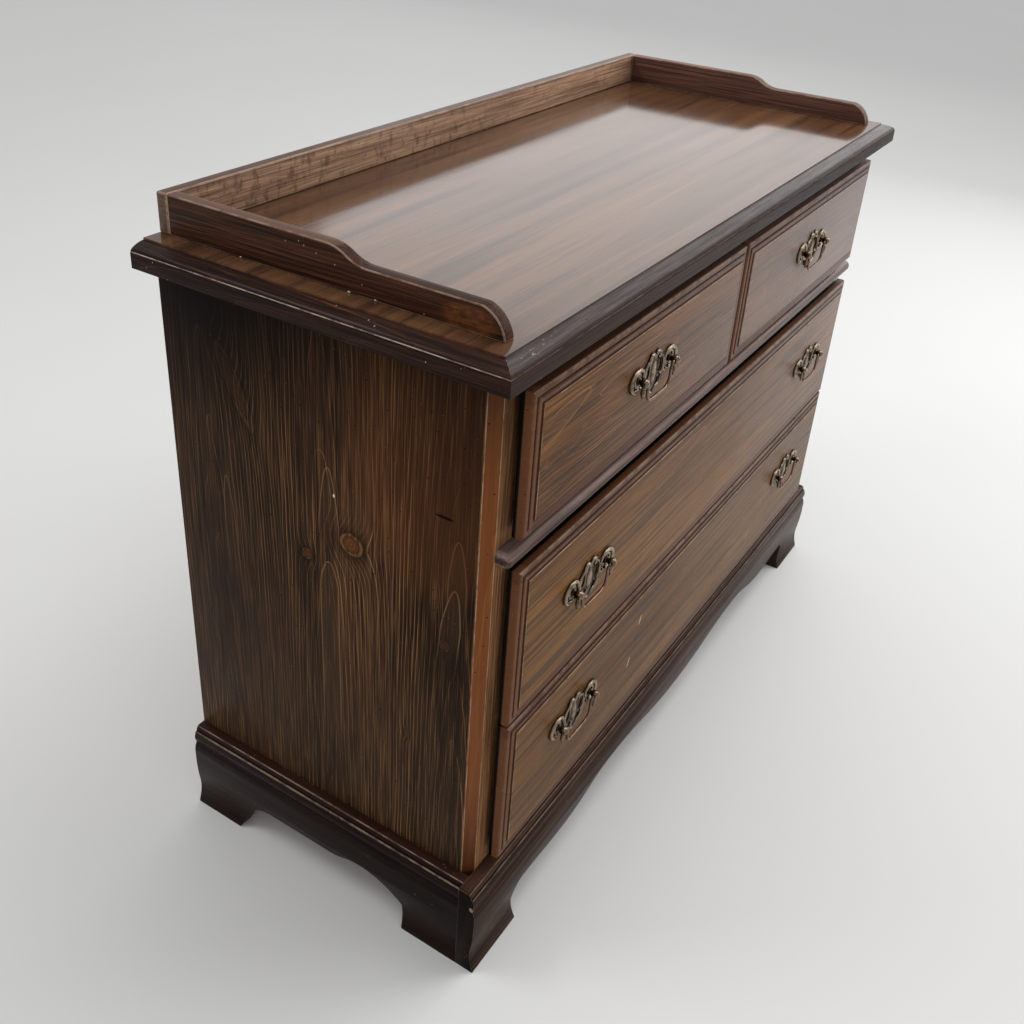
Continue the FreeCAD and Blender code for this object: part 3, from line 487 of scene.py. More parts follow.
# Back panel: a thin hardboard sheet in the rabbets, held by small zinc screws.
# The runners, blocks and the rail behind the base are rough pine without a finish.
hardboard = Finish("hardboard", {"Specular IOR Level": 0.2})
fuzz = hardboard.noise((700.0, 700.0, 700.0), 0.0, 3.0)
blotch = hardboard.noise((9.0, 9.0, 9.0), 2.0, 5.0, 0.6)
sheet = hardboard.mix(blotch.ramp(0.3, 0.7), tone(110, 83, 58), tone(121, 93, 66))
sheet = hardboard.mix(fuzz.ramp(0.55, 0.75) * 0.5, sheet, tone(78, 56, 38))
dress(hardboard.paint(sheet, blotch * 0.1 + 0.7, fuzz, 0.0002), "back_panel")

zinc = Finish("zinc", {"Metallic": 1.0})
dull = zinc.noise((300.0, 300.0, 300.0), 0.0, 3.0)
zinc_tone = zinc.mix(dull, tone(130, 128, 122), tone(170, 168, 160))
dress(zinc.paint(zinc_tone, dull * 0.3 + 0.3), "back_screws")

BARE_SHADES = {
    "deep": (150, 108, 68), "dark": (172, 132, 88), "mid": (198, 160, 112), "line": (160, 112, 66),
    "knot": (120, 74, 42), "worn": (205, 172, 128),
}


def bare_pine(name, grain, face, surface, seed):
    """Rough pine that was never stained or lacquered."""
    return stained_pine(
        name, grain, face, surface, BARE_SHADES, ring=0.006, pith=0.05, seed=seed, specks=0, scratches=0,
        gloss=0.62)


bare_deep = bare_pine("bare_pine", "y", "z", 0.0, 6.6)
bare_wide = bare_pine("bare_pine_wide", "x", "z", 0.3, 7.7)
dress(bare_deep, "drawer_runners", "base_corner_blocks")
dress(bare_wide, "base_back")

# Top: a core faced with wood-print laminate, inside a near-black edge moulding with mitred front corners.
# The laminate is glossy, with long soft streaks along the width; the moulding's arris is rounded.
laminate = Finish("walnut_laminate", {"IOR": 1.45})
streak = laminate.noise((1.6, 46.0, 46.0), 3.0, 4.0, 0.6)
band = laminate.noise((0.9, 13.0, 13.0), 8.0, 2.0)
thread = laminate.noise((9.0, 420.0, 420.0), 1.0, 3.0, 0.6)
print_tone = laminate.mix(band.ramp(0.3, 0.7), tone(86, 58, 39), tone(113, 79, 54))
print_tone = laminate.mix(streak.ramp(0.5, 0.68) * 0.75, print_tone, tone(56, 36, 26))
print_tone = laminate.mix(streak.ramp(0.48, 0.3) * 0.5, print_tone, tone(132, 95, 64))
print_tone = laminate.mix(thread.ramp(0.56, 0.72) * 0.5, print_tone, tone(44, 27, 19))
smear = laminate.noise((5.0, 9.0, 5.0), 4.0, 3.0)
dress(laminate.paint(print_tone, smear.ramp(0.2, 0.9) * 0.06 + 0.1), "top_laminate")
dress(shaded_rail_pine, "top_panel")

MOULDING_SHADES = {
    "deep": (18, 11, 9), "dark": (33, 22, 18), "mid": (54, 34, 26), "line": (80, 49, 35),
    "knot": (60, 40, 30), "worn": (216, 194, 176),
}
EDGING_FACE = 19 * MM
EDGING_CROWN = 40 * MM
ARRIS = 5 * MM
MITRE_EDGE = 0.7 * MM
top_low, top_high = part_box("top_moulding_front")
face_middle = top_low.z + EDGING_FACE / 2


def painted_slope_glare(wood, colour):
    """The slope at the front is painted grey as a painted glare, with small pale chips towards the left
    corner.
    """
    drawn = wood.noise((14.0, 300.0, 300.0), 53.0, 3.0, 0.6)
    above = (wood.z - top_low.z - EDGING_FACE).ramp(0.5 * MM, 3 * MM)
    colour = wood.mix(above * (drawn.ramp(0.35, 0.65) * 0.16 + 0.14), colour, tone(146, 142, 142))
    chips = wood.noise((110.0, 240.0, 240.0), 5.0, 3.0, 0.7).ramp(0.62, 0.68)
    near_corner = above * wood.x.ramp(-0.44, -0.5)
    return wood.mix(chips * near_corner * 0.5, colour, tone(190, 182, 176))


moulding_pine = stained_pine(
    "front_edging_pine", "x", "z", top_low.y, MOULDING_SHADES, middle=face_middle, seed=9.1,
    specks=0.2, scratches=0.2, gloss=0.26, sheen=0.06, stain=painted_slope_glare)
side_moulding_pine = stained_pine(
    "side_edging_pine", "y", "z", top_low.x, dict(MOULDING_SHADES, mid=(66, 39, 29), line=(96, 57, 40)),
    middle=face_middle, seed=9.7, specks=0.2, scratches=0.8, gloss=0.28, sheen=0.1)


def edging(outer, inner, low, high):
    """Edge moulding: flat underside, upright face, crowned slope."""
    turn = 1 if outer > inner else -1
    crown = arc((outer, low + EDGING_FACE), (inner, high), EDGING_CROWN, turn, 5)
    return [(inner, low), (outer, low), *crown, (inner, high)]


def mitred(bm, corner, outward):
    """Cut a moulding off along an upright plane and close the end."""
    whole = bm.verts[:] + bm.edges[:] + bm.faces[:]
    bmesh.ops.bisect_plane(bm, geom=whole, plane_co=corner, plane_no=outward, clear_outer=True)
    bmesh.ops.remove_doubles(bm, verts=bm.verts, dist=0.01 * MM)
    bmesh.ops.holes_fill(bm, edges=bm.edges)
    bmesh.ops.recalc_face_normals(bm, faces=bm.faces)


def rounded_edging(bm, rub):
    """Round the long arris, rub its middle, and break the outer edge of each mitre."""
    def lies_level(edge):
        return abs(edge.verts[0].co.z - edge.verts[1].co.z) < MM

    def above_face(edge):
        return lies_level(edge) and abs(edge.verts[0].co.z - top_low.z - EDGING_FACE) < MM

    def still_sharp(edge):
        return not lies_level(edge) or edge.verts[0].co.z < top_low.z + MM

    soften(bm, ARRIS, rub=0.0, segments=7, least=20, chosen=above_face)
    bm.normal_update()
    layer = bm.faces.layers.float["worn"]
    for face in bm.faces:
        if 0.3 < face.normal.z < 0.45:
            face[layer] = rub
    soften(bm, MITRE_EDGE, rub=0.7, least=60, chosen=still_sharp)


front_edging = prism(edging(top_low.y, top_high.y, top_low.z, top_high.z), "x", top_low.x, top_high.x)
for sign in (-1, 1):
    mitred(front_edging, (sign * top_high.x, top_low.y, 0), Vector((sign, 1, 0)).normalized())
rounded_edging(front_edging, 0.15)
piece("front_edging", front_edging, moulding_pine, "case", "espresso_moulding", "top_moulding_front")
for side, sign in SIDES:
    low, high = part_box(f"top_moulding_{side}")
    outer, inner = (low.x, high.x) if sign < 0 else (high.x, low.x)
    edge = prism(edging(outer, inner, low.z, high.z), "y", low.y, high.y)
    mitred(edge, (outer, low.y, 0), Vector((-sign, -1, 0)).normalized())
    rounded_edging(edge, 0.7)
    piece(f"{side}_edging", edge, side_moulding_pine, "case", "espresso_moulding", f"top_moulding_{side}")

# Gallery: a low fence on three sides of the top, glued down, with softened edges.
# Its side rails fall in an ogee towards the front and end in a rounded nose.
# The back rail's inner face is scuffed, and filler shows where the rails meet.
GALLERY_SHADES = {
    "deep": (20, 12, 9), "dark": (36, 22, 16), "mid": (72, 42, 27), "line": (110, 68, 44),
    "knot": (150, 88, 42), "worn": (206, 176, 152),
}
# The right rail takes a lighter copy of the stain: painted light on its inner face.
RIGHT_RAIL_SHADES_LIT = dict(
    GALLERY_SHADES, deep=(54, 36, 30), dark=(84, 57, 47), mid=(118, 83, 68), line=(140, 100, 82))
BACK_RAIL_SHADES = dict(
    GALLERY_SHADES, deep=(98, 70, 54), dark=(152, 117, 92), mid=(186, 149, 121), line=(198, 163, 134))
BACK_RAIL_EDGE = 2 * MM
SIDE_RAIL_EDGE = 1.4 * MM
low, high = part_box("gallery_back_rail")
butt, back = low.y, high.y
rail_foot, rail_top = low.z, high.z


def scuffed_face(wood, colour):
    """Dark scuffs from things pushed along the inner face, a dark line at its foot and a darker top edge.
    The other faces kept their dark stain."""
    scuffs = wood.noise((70.0, 70.0, 45.0), 31.0, 5.0, 0.75)
    zone = wood.noise((6.0, 6.0, 6.0), 33.0, 2.0)
    colour = wood.mix(scuffs.ramp(0.5, 0.36) * zone.ramp(0.35, 0.6) * 0.6, colour, tone(72, 48, 37))
    colour = wood.mix((wood.z - rail_top).ramp(-7 * MM, -2 * MM) * 0.4, colour, tone(70, 50, 40))
    colour = wood.mix((wood.z - rail_foot).ramp(2.5 * MM, 1.2 * MM) * 0.8, colour, tone(26, 17, 13))
    return wood.mix((wood.y - butt).ramp(0.8 * MM, 3 * MM) * 0.75, colour, tone(70, 53, 46))


rail = prism([(low.y, low.z), (high.y, low.z), (high.y, high.z), (low.y, high.z)], "x", low.x, high.x)
soften(rail, BACK_RAIL_EDGE, rub=0.35, segments=3)
gallery_pine = stained_pine(
    "gallery_back_pine", "x", "z", low.y, BACK_RAIL_SHADES, middle=0.82, seed=10.3, specks=0.3, sheen=0.3,
    stain=scuffed_face)
piece("gallery_back", rail, gallery_pine, "case", "dark_pine", "gallery_back_rail")

GALLERY_LOW = 29 * MM
SWEEP_START = 222 * MM
SWEEP_RUN = 50 * MM
NOSE_RUN = 25 * MM
NOSE_CURVE = 34 * MM
FLECK_UP = 1.4 * MM
FLECK_HALF = 1.0 * MM
flecks = ((0.118, 1.2 * MM), (-0.019, 2.2 * MM), (-0.050, 1.6 * MM))


def rail_top_highlight_and_joint(wood, colour):
    """The top edge is paler, a painted highlight, and filler shows at the back joint."""
    colour = wood.mix(wood.z.ramp(rail_top - 3 * MM, rail_top - 1 * MM) * 0.25, colour, tone(150, 112, 94))
    return wood.mix((wood.y - butt).ramp(-1.7 * MM, -1.2 * MM) * 0.8, colour, tone(206, 176, 148))


def rail_marks(wood, colour):
    """Orange patch by the nose and paint flecks along the foot, on the left rail."""
    grit = wood.noise((40.0, 90.0, 220.0), 41.0, 4.0, 0.6).ramp(0.35, 0.65)
    patch = wood.spot(wood.y, wood.z, (-0.153, 0.814), (0.034, 0.016))
    colour = wood.mix(patch * (grit * 0.25 + 0.12), colour, tone(150, 88, 42))
    for place, half_long in flecks:
        fleck = wood.spot(wood.y, wood.z, (place, rail_foot + FLECK_UP), (half_long, FLECK_HALF))
        colour = wood.mix(fleck, colour, tone(236, 226, 212))
    return rail_top_highlight_and_joint(wood, colour)


for side, sign in SIDES:
    low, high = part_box(f"gallery_{side}_rail")
    top, fall = high.z, low.z + GALLERY_LOW
    drop = top - fall
    ogee = (SWEEP_RUN ** 2 + drop ** 2) / (4 * drop)
    start, end = back - SWEEP_START, back - SWEEP_START - SWEEP_RUN
    halfway = ((start + end) / 2, (top + fall) / 2)
    section = [
        (high.y, low.z), *arc((low.y, low.z), (low.y + NOSE_RUN, fall), NOSE_CURVE, -1, 10),
        (low.y + NOSE_RUN, fall), *arc((end, fall), halfway, ogee, 1),
        *arc(halfway, (start, top), ogee, -1), (start, top), (high.y, top),
    ]
    rail = soften(prism(section, "x", low.x, high.x), SIDE_RAIL_EDGE, rub=0.4, segments=3)
    finish = stained_pine(
        f"gallery_{side}_pine", "y", "z", low.x if sign < 0 else high.x,
        GALLERY_SHADES if sign < 0 else RIGHT_RAIL_SHADES_LIT, middle=0.80, seed=11.2 + sign, specks=0.3,
        scratches=0.8 if sign < 0 else 0.2, sheen=0.12, stain=rail_marks if sign < 0 else rail_top_highlight_and_joint)
    piece(f"gallery_{side}", rail, finish, "case", "dark_pine", f"gallery_{side}_rail")

# Bracket base: three moulded boards with scalloped lower edges, the front one lapping the others' ends.
# The section runs from a flared toe through a hollow and a swell to a bead and a rounded ledge.
# The finish is nearly black, rubbed through along the ledge and the bead, where the rubbed lines also
# stand for painted highlights; the step between is darkened as painted shade.
BASE_SHADES = {
    "deep": (15, 10, 8), "dark": (25, 17, 14), "mid": (40, 25, 19), "line": (62, 38, 29),
    "knot": (50, 32, 26), "worn": (206, 178, 154),
}
# The front board takes lighter colours than the sides: a painted sheen on its front.
FRONT_BASE_SHADES_WITH_SHEEN = dict(BASE_SHADES, dark=(54, 39, 32), mid=(84, 63, 52), worn=(170, 144, 124))
BASE_HEIGHT = 132 * MM
BASE_EDGE = 0.6 * MM
LEDGE_ROUND = 131 * MM
LEDGE_STEP = 125 * MM
BEAD_TOP = 124.2 * MM
PAST_BOARD = 50 * MM
BASE_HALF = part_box("base_front")[1].x
frame_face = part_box("left_front_stile")[0].y


def board_ends(wood, colour):
    """The ledge took a redder stain, the end grain of the front board is nearly black, and its front corner
    is chipped below the bead."""
    aside = wood.x.math("ABSOLUTE") - BASE_HALF
    ledge = wood.z.ramp(BASE_HEIGHT - 3.5 * MM, BASE_HEIGHT - 1.5 * MM)
    colour = wood.mix(ledge * 0.4, colour, tone(68, 41, 32))
    at_end = aside.ramp(-3 * MM, -0.5 * MM) * (wood.y - frame_face).ramp(0.0, -1 * MM)
    colour = wood.mix(at_end * 0.9, colour, tone(7, 5, 4))
    chip = wood.spot(wood.y, wood.z, (frame_face - 18 * MM, 108 * MM), (3 * MM, 4 * MM))
    return wood.mix(chip * aside.ramp(-4 * MM, -1 * MM) * 0.6, colour, tone(176, 150, 136))


def base_section(face, toe, outward):
    """Section of a base board, from the case face out to its toe."""
    def at(inset, height):
        return face + outward * (toe - inset * MM), height * MM

    return [
        (face, 0), at(0, 0), *arc(at(0, 3), at(5, 36), 70 * MM, -outward),
        *arc(at(5, 36), at(1.6, 90), 300 * MM, outward), *arc(at(1.6, 90), at(5.2, 107), 26 * MM, outward),
        *arc(at(5.2, 107), at(6, 125), 17.5 * MM, outward), at(6, 125),
        *arc(at(7.5, 125), at(11.5, 132), 6.5 * MM, outward, 14), at(11.5, 132), (face, BASE_HEIGHT),
    ]


def ogee_run(start, end):
    """Points of two equal arcs that leave start and reach end level, without the end."""
    (a, b), (c, d) = start, end
    radius = ((c - a) ** 2 + (d - b) ** 2) / (4 * abs(d - b))
    halfway = ((a + c) / 2, (b + d) / 2)
    turn = 1 if d > b else -1
    return [*arc(start, halfway, radius, turn), *arc(halfway, end, radius, -turn)]


def cut(bm, cutter):
    """What is left of a shape after a cutter is taken out of it."""
    things = []
    for name, shape in (("board", bm), ("cutter", cutter)):
        mesh = bpy.data.meshes.new(name)
        shape.to_mesh(mesh)
        shape.free()
        things.append(bpy.data.objects.new(name, mesh))
        bpy.context.scene.collection.objects.link(things[-1])
    taken = things[0].modifiers.new("taken", "BOOLEAN")
    taken.operation = "DIFFERENCE"
    taken.solver = "EXACT"
    taken.object = things[1]
    solid = things[0].evaluated_get(bpy.context.evaluated_depsgraph_get()).to_mesh()
    left = bmesh.new()
    left.from_mesh(solid)
    for thing in things:
        bpy.data.objects.remove(thing)
    return left


def base_board(bm):
    """Break the edges, rub a line along the ledge's round and the bead, which also stands for a painted
    highlight, and darken the step between as painted shade.
    """
    soften(bm, BASE_EDGE, rub=0.75, least=32)
    bm.normal_update()
    layer = bm.faces.layers.float["worn"]
    for face in bm.faces:
        height = face.calc_center_median().z
        # Lines along the ledge's round and the bead: rubbed wear, and also painted highlights.
        if abs(height - LEDGE_ROUND) < 0.5 * MM and 0.3 < face.normal.z < 0.97:
            face[layer] = 0.45
        if abs(height - BEAD_TOP) < 0.7 * MM and 0.2 < face.normal.z < 0.95:
            face[layer] = 0.35
        # The step under the ledge's round: painted shade in the crease.
        if abs(height - LEDGE_STEP) < 0.3 * MM and face.normal.z > 0.95:
            face[layer] = -0.8
    return bm


low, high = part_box("base_front")
half_scallop = [
    (-457 * MM, -3 * MM), *arc((-461 * MM, 36 * MM), (-440 * MM, 60 * MM), 22.5 * MM, -1),
    *ogee_run((-440 * MM, 60 * MM), (-345 * MM, 55 * MM)),
    *ogee_run((-345 * MM, 55 * MM), (-215 * MM, 76 * MM)), *ogee_run((-215 * MM, 76 * MM), (0, 55 * MM)),
]
scallop = half_scallop + [(0, 55 * MM)] + [(-a, b) for a, b in reversed(half_scallop)]
front_board = base_board(cut(
    prism(base_section(high.y, high.y - low.y, -1), "x", low.x, high.x),
    prism(scallop, "y", low.y - PAST_BOARD, high.y + PAST_BOARD)))
base_pine = stained_pine(
    "base_front_pine", "x", "z", low.y, FRONT_BASE_SHADES_WITH_SHEEN, middle=0.06, seed=12.5, specks=0.2,
    scratches=0.5, gloss=0.3, sheen=0.05, stain=board_ends)
piece("base_front_board", front_board, base_pine, "case", "espresso_moulding", "base_front")
for side, sign in SIDES:
    low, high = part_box(f"base_{side}")
    outer, inner = (low.x, high.x) if sign < 0 else (high.x, low.x)
    front, rear = low.y, high.y
    scallop = [
        (front + 80 * MM, -3 * MM),
        *arc((front + 84 * MM, 36 * MM), (front + 149 * MM, 64 * MM), 84 * MM, -1),
        *ogee_run((front + 149 * MM, 64 * MM), (front + 197 * MM, 55 * MM)), (front + 197 * MM, 55 * MM),
        *arc((rear - 128 * MM, 55 * MM), (rear - 88 * MM, 26 * MM), 46 * MM, -1), (rear - 88 * MM, 26 * MM),
        (rear - 74 * MM, -3 * MM),
    ]
    side_board = base_board(cut(
        prism(base_section(inner, abs(outer - inner), sign), "y", front, rear),
        prism(scallop, "x", low.x - PAST_BOARD, high.x + PAST_BOARD)))
    finish = stained_pine(
        f"base_{side}_pine", "y", "z", outer, BASE_SHADES, middle=0.06, seed=13.0 + sign, specks=0.2,
        scratches=0.5, gloss=0.34, sheen=0.08, stain=board_ends)
    piece(f"base_{side}_board", side_board, finish, "case", "espresso_moulding", f"base_{side}")

# Drawers: lipped fronts on plain pine boxes. Each front is one board with its grain across, rebated behind
# the lip, and its border steps up from the rounded lip over a bead to the raised field.
# The border took a redder, darker stain than the field. Painted shade darkens its top side and makes
# the rebate nearly black, and a painted glare greys the fronts towards the right.
FRONT_SHADES = {
    "deep": (40, 23, 11), "dark": (85, 51, 22), "mid": (124, 79, 34), "line": (174, 119, 57),
    "knot": (92, 56, 32), "worn": (206, 180, 154),
}
WIDE_SHADES = dict(
    FRONT_SHADES, deep=(52, 33, 17), dark=(109, 70, 31), mid=(138, 93, 42), line=(60, 37, 18))
LOW_SHADES = dict(WIDE_SHADES, dark=(107, 71, 34), mid=(132, 91, 45))
drawer_shades = {
    "top_left": FRONT_SHADES, "top_right": FRONT_SHADES, "middle": WIDE_SHADES, "bottom": LOW_SHADES,
}
BORDER = (84, 47, 33)
BORDER_LEFT = (108, 69, 47)
BORDER_TOP_SHADED = (46, 32, 29)
REBATE_IN = 18 * MM
REBATE_DEEP = 7 * MM
LIP = 19.6 * MM
LIP_ROUND = 3 * MM
LIP_FLAT = 8 * MM
BEAD_HIGH = 20.8 * MM
STEP_IN = 16.4 * MM
GROOVE = 1.0 * MM
BEAD_LEAN = 0.3 * MM
BEAD_ROUND = 0.9 * MM
BEAD_HOLLOW = 1.6 * MM
BEAD_FLAT = 3.2 * MM
FIELD_LEAN = 0.4 * MM
FIELD_ROUND = 0.6 * MM
drawer_knots = {
    "top_left": [
        (-0.438, 0.673, 0.034, 0.010, 0.15, 0.014, 0.3), (-0.436, 0.711, 0.042, 0.008, 0.12, 0.004, 0.35),
    ],
    "top_right": [(0.30, 0.64, 0.018, 0.007, 0.1, 0.010, 0.3)],
    "middle": [(-0.121, 0.492, 0.05, 0.012, 0.2, 0.018, 0.3), (0.26, 0.42, 0.02, 0.007, 0.0, 0.010, 0.3)],
    "bottom": [(0.10, 0.22, 0.022, 0.007, 0.1, 0.010, 0.3)],
}
drawer_scratches = {
    "bottom": [((-0.180, 0.292), (0.0016, 0.008)), ((-0.200, 0.234), (0.0014, 0.009))],
}
drawer_spears = {
    "top_left": [(-0.397, 0.718, 0.013, 0.06, 0.10, -0.2)],
    "middle": [(-0.053, 0.524, 0.013, 0.10, 0.18, -0.1)],
}


def drawer_front(low, high):
    """Front with its border moulded by inset steps of (inward, up, rubbed) and its back rebated. A mark
    above 0 on the top border is a painted highlight, below 0 a groove darkened with painted shade,
    and the field's rubbed edge is wear.
    """
    bm = bmesh.new()
    thick = high.y - low.y
    size = Vector((high.x - low.x, LIP - LIP_ROUND - REBATE_DEEP, high.z - low.z))
    centre = Vector(((low.x + high.x) / 2, high.y - REBATE_DEEP - size.y / 2, (low.z + high.z) / 2))
    bmesh.ops.create_cube(bm, size=1.0, matrix=Matrix.Translation(centre) @ Matrix.Diagonal((*size, 1)))
    layer = bm.faces.layers.float.new("worn")
    field = min(bm.faces, key=lambda f: f.calc_center_median().y)
    core = max(bm.faces, key=lambda f: f.calc_center_median().y)
    bends = 5
    turns = [math.pi / 2 * i / bends for i in range(bends + 1)]
    steps = []
    for a, b in zip(turns, turns[1:]):
        inward, up = math.cos(a) - math.cos(b), math.sin(b) - math.sin(a)
        steps.append((LIP_ROUND * inward, LIP_ROUND * up, 0.3 if a > 0.6 else 0))
    bead_rise, field_rise = BEAD_HIGH - LIP, thick - BEAD_HIGH
    bead_wide = BEAD_LEAN + BEAD_ROUND + BEAD_HOLLOW + BEAD_FLAT
    # Marks above 0 on the top border are painted highlights, below 0 painted shade in grooves.
    steps += [
        (LIP_FLAT - LIP_ROUND - GROOVE, 0, 0.12), (GROOVE, 0, -0.8), (BEAD_LEAN, bead_rise * 0.7, -0.6),
        (BEAD_ROUND, bead_rise * 0.3, -0.4), (BEAD_HOLLOW, 0, -0.2), (BEAD_FLAT, 0, 0.12),
        (STEP_IN - LIP_FLAT - bead_wide, 0, -0.7), (FIELD_LEAN, field_rise * 0.7, -0.3),
        (FIELD_ROUND, field_rise * 0.3, 0.6),
    ]
    for inward, up, rubbed in steps:
        made = bmesh.ops.inset_region(
            bm, faces=[field], thickness=inward, depth=up, use_even_offset=True, use_boundary=True)
        for face in made["faces"]:
            along_top = face.calc_center_median().z > high.z - STEP_IN
            # Small marks above 0 stay on the top border only, as painted highlights.
            face[layer] = rubbed if along_top or rubbed < 0 or rubbed > 0.5 else 0.0
    bmesh.ops.inset_region(bm, faces=[core], thickness=REBATE_IN, use_even_offset=True, use_boundary=True)
    grown = bmesh.ops.extrude_face_region(bm, geom=[core])["geom"]
    bmesh.ops.translate(
        bm, vec=(0, REBATE_DEEP, 0), verts=[g for g in grown if isinstance(g, bmesh.types.BMVert)])
    bmesh.ops.delete(bm, geom=[core], context="FACES_ONLY")
    bmesh.ops.recalc_face_normals(bm, faces=bm.faces)
    return bm


def border_stain_and_painted_light(low, high, name):
    """Stain of the border, with the field's figures and scratches. The top border is darker as painted
    shade, and the rebate behind the field's plane is painted nearly black as painted shade. A painted
    glare greys the front towards the right, and more on the higher drawers."""
    def stain(wood, colour):
        for figure in drawer_spears.get(name, []):
            colour = spear(wood, colour, wood.x, wood.z, figure, (154, 102, 56), (98, 63, 36))
        # Painted glare, greying the front towards the right and the top.
        painted_glare = wood.x.ramp(-0.1, 0.5) * (wood.z.ramp(0.2, 0.55) * 0.28 + 0.02)
        painted_glare = painted_glare + wood.x.ramp(-0.45, 0.05) * wood.z.ramp(0.56, 0.64) * 0.3
        colour = wood.mix(painted_glare, colour, tone(155, 145, 143))
        for at, half in drawer_scratches.get(name, []):
            mark = wood.spot(wood.x + (wood.z - at[1]) * -0.35, wood.z, at, half)
            colour = wood.mix(mark * 0.85, colour, tone(226, 200, 164))
        depth = wood.y - low.y
        border = wood.mix((wood.x - low.x).ramp(STEP_IN, STEP_IN * 0.8), tone(*BORDER), tone(*BORDER_LEFT))
        # The top border is darker: painted shade under what overhangs it.
        border = wood.mix((wood.z - high.z).ramp(-STEP_IN, STEP_IN * -0.7) * 0.4, border, tone(*BORDER_TOP_SHADED))
        colour = wood.mix(depth.ramp(0.3 * MM, 1.2 * MM) * 0.78, colour, border)
        # Nearly black behind the field's plane: painted shade in the rebate.
        return wood.mix(depth.ramp(10.5 * MM, 12.5 * MM), colour, tone(8, 5, 4))
    return stain


bare_sheet = bare_pine("bare_pine_sheet", "x", "y", 0.4, 8.8)
for number, (name, shades) in enumerate(drawer_shades.items()):
    low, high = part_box(f"{name}_drawer_front")
    finish = stained_pine(
        f"{name}_front_pine", "x", "z", low.y, shades, width=0.24, middle=(low.z + high.z) / 2 + 0.02,
        pith=0.03, lean=0.02, ring=0.0036, line=0.0011, seed=14.0 + number * 2.3, knots=drawer_knots[name],
        specks=0.3, gloss=0.26, sheen=0.06, dust=0.08 if name == "bottom" else 0.2,
        stain=border_stain_and_painted_light(low, high, name))
    piece(
        f"{name}_front", drawer_front(low, high), finish, f"drawer_{name}", "drawer_pine",
        f"{name}_drawer_front")
    dress(bare_deep, f"{name}_drawer_left_side", f"{name}_drawer_right_side")
    dress(bare_wide, f"{name}_drawer_back")
    dress(bare_sheet, f"{name}_drawer_bottom")

# Pulls: cast scroll plates of antiqued brass, pierced, with turned posts and a swinging bail.
# The posts go through the drawer front and are held by nuts behind it.
# Dark lacquer is left in the hollows, and the raised scrolls are rubbed bright.
PLATE_CORE = 0.3 * MM
PLATE_ROUND = 0.5 * MM
SCROLL_LIFT = 1.6 * MM
BOSS = 6.8 * MM
POST_OUT = 38 * MM
BALL = 5.5 * MM
BALL_OUT = 10 * MM
DROP_OUT = 9 * MM
PIVOT = 1.8 * MM
WIRE = 1.7 * MM


def aged_brass(name, low_y, high_y, bright):
    """Brass that is dark at low_y and bright from high_y on, both measured out from the case."""
    brass = Finish(name, {"Metallic": 1.0})
    grime = brass.noise((260.0, 260.0, 260.0), 1.0, 4.0, 0.6)
    spots = brass.noise((90.0, 90.0, 90.0), 4.0, 3.0)
    rubbed = brass.y.ramp(low_y, high_y) * (grime.ramp(0.25, 0.5) * 0.4 + 0.6)
    colour = brass.mix(rubbed, tone(56, 45, 34), tone(*bright))
    colour = brass.mix(spots.ramp(0.46, 0.66) * 0.6, colour, tone(72, 58, 44))
    # Marked faces, the posts' sockets, are painted dark: painted shade.
    colour = brass.mix(brass.worn() * 0.85, colour, tone(18, 14, 11))
    return brass.paint(colour, grime * 0.16 + 0.1, grime, 0.0001)


def as_mesh(curve):
    """The mesh that a curve makes; the curve's object is thrown away."""
    thing = bpy.data.objects.new("bar", curve)
    bpy.context.scene.collection.objects.link(thing)
    mesh = bpy.data.meshes.new_from_object(thing.evaluated_get(bpy.context.evaluated_depsgraph_get()))
    bpy.data.objects.remove(thing)
    return mesh


def tube(points, thickness, swell):
    """Round bar through points, as a mesh, with its thickness scaled at each point."""
    bar = bpy.data.curves.new("bar", "CURVE")
    bar.dimensions = "3D"
    bar.bevel_depth = thickness
    bar.bevel_resolution = 5
    bar.use_fill_caps = True
    bar.resolution_u = 6
    spline = bar.splines.new("BEZIER")
    spline.bezier_points.add(len(points) - 1)
    for knot, at, scale in zip(spline.bezier_points, points, swell):
        knot.co = at
        knot.handle_left_type = knot.handle_right_type = "AUTO"
        knot.radius = scale
    return as_mesh(bar)


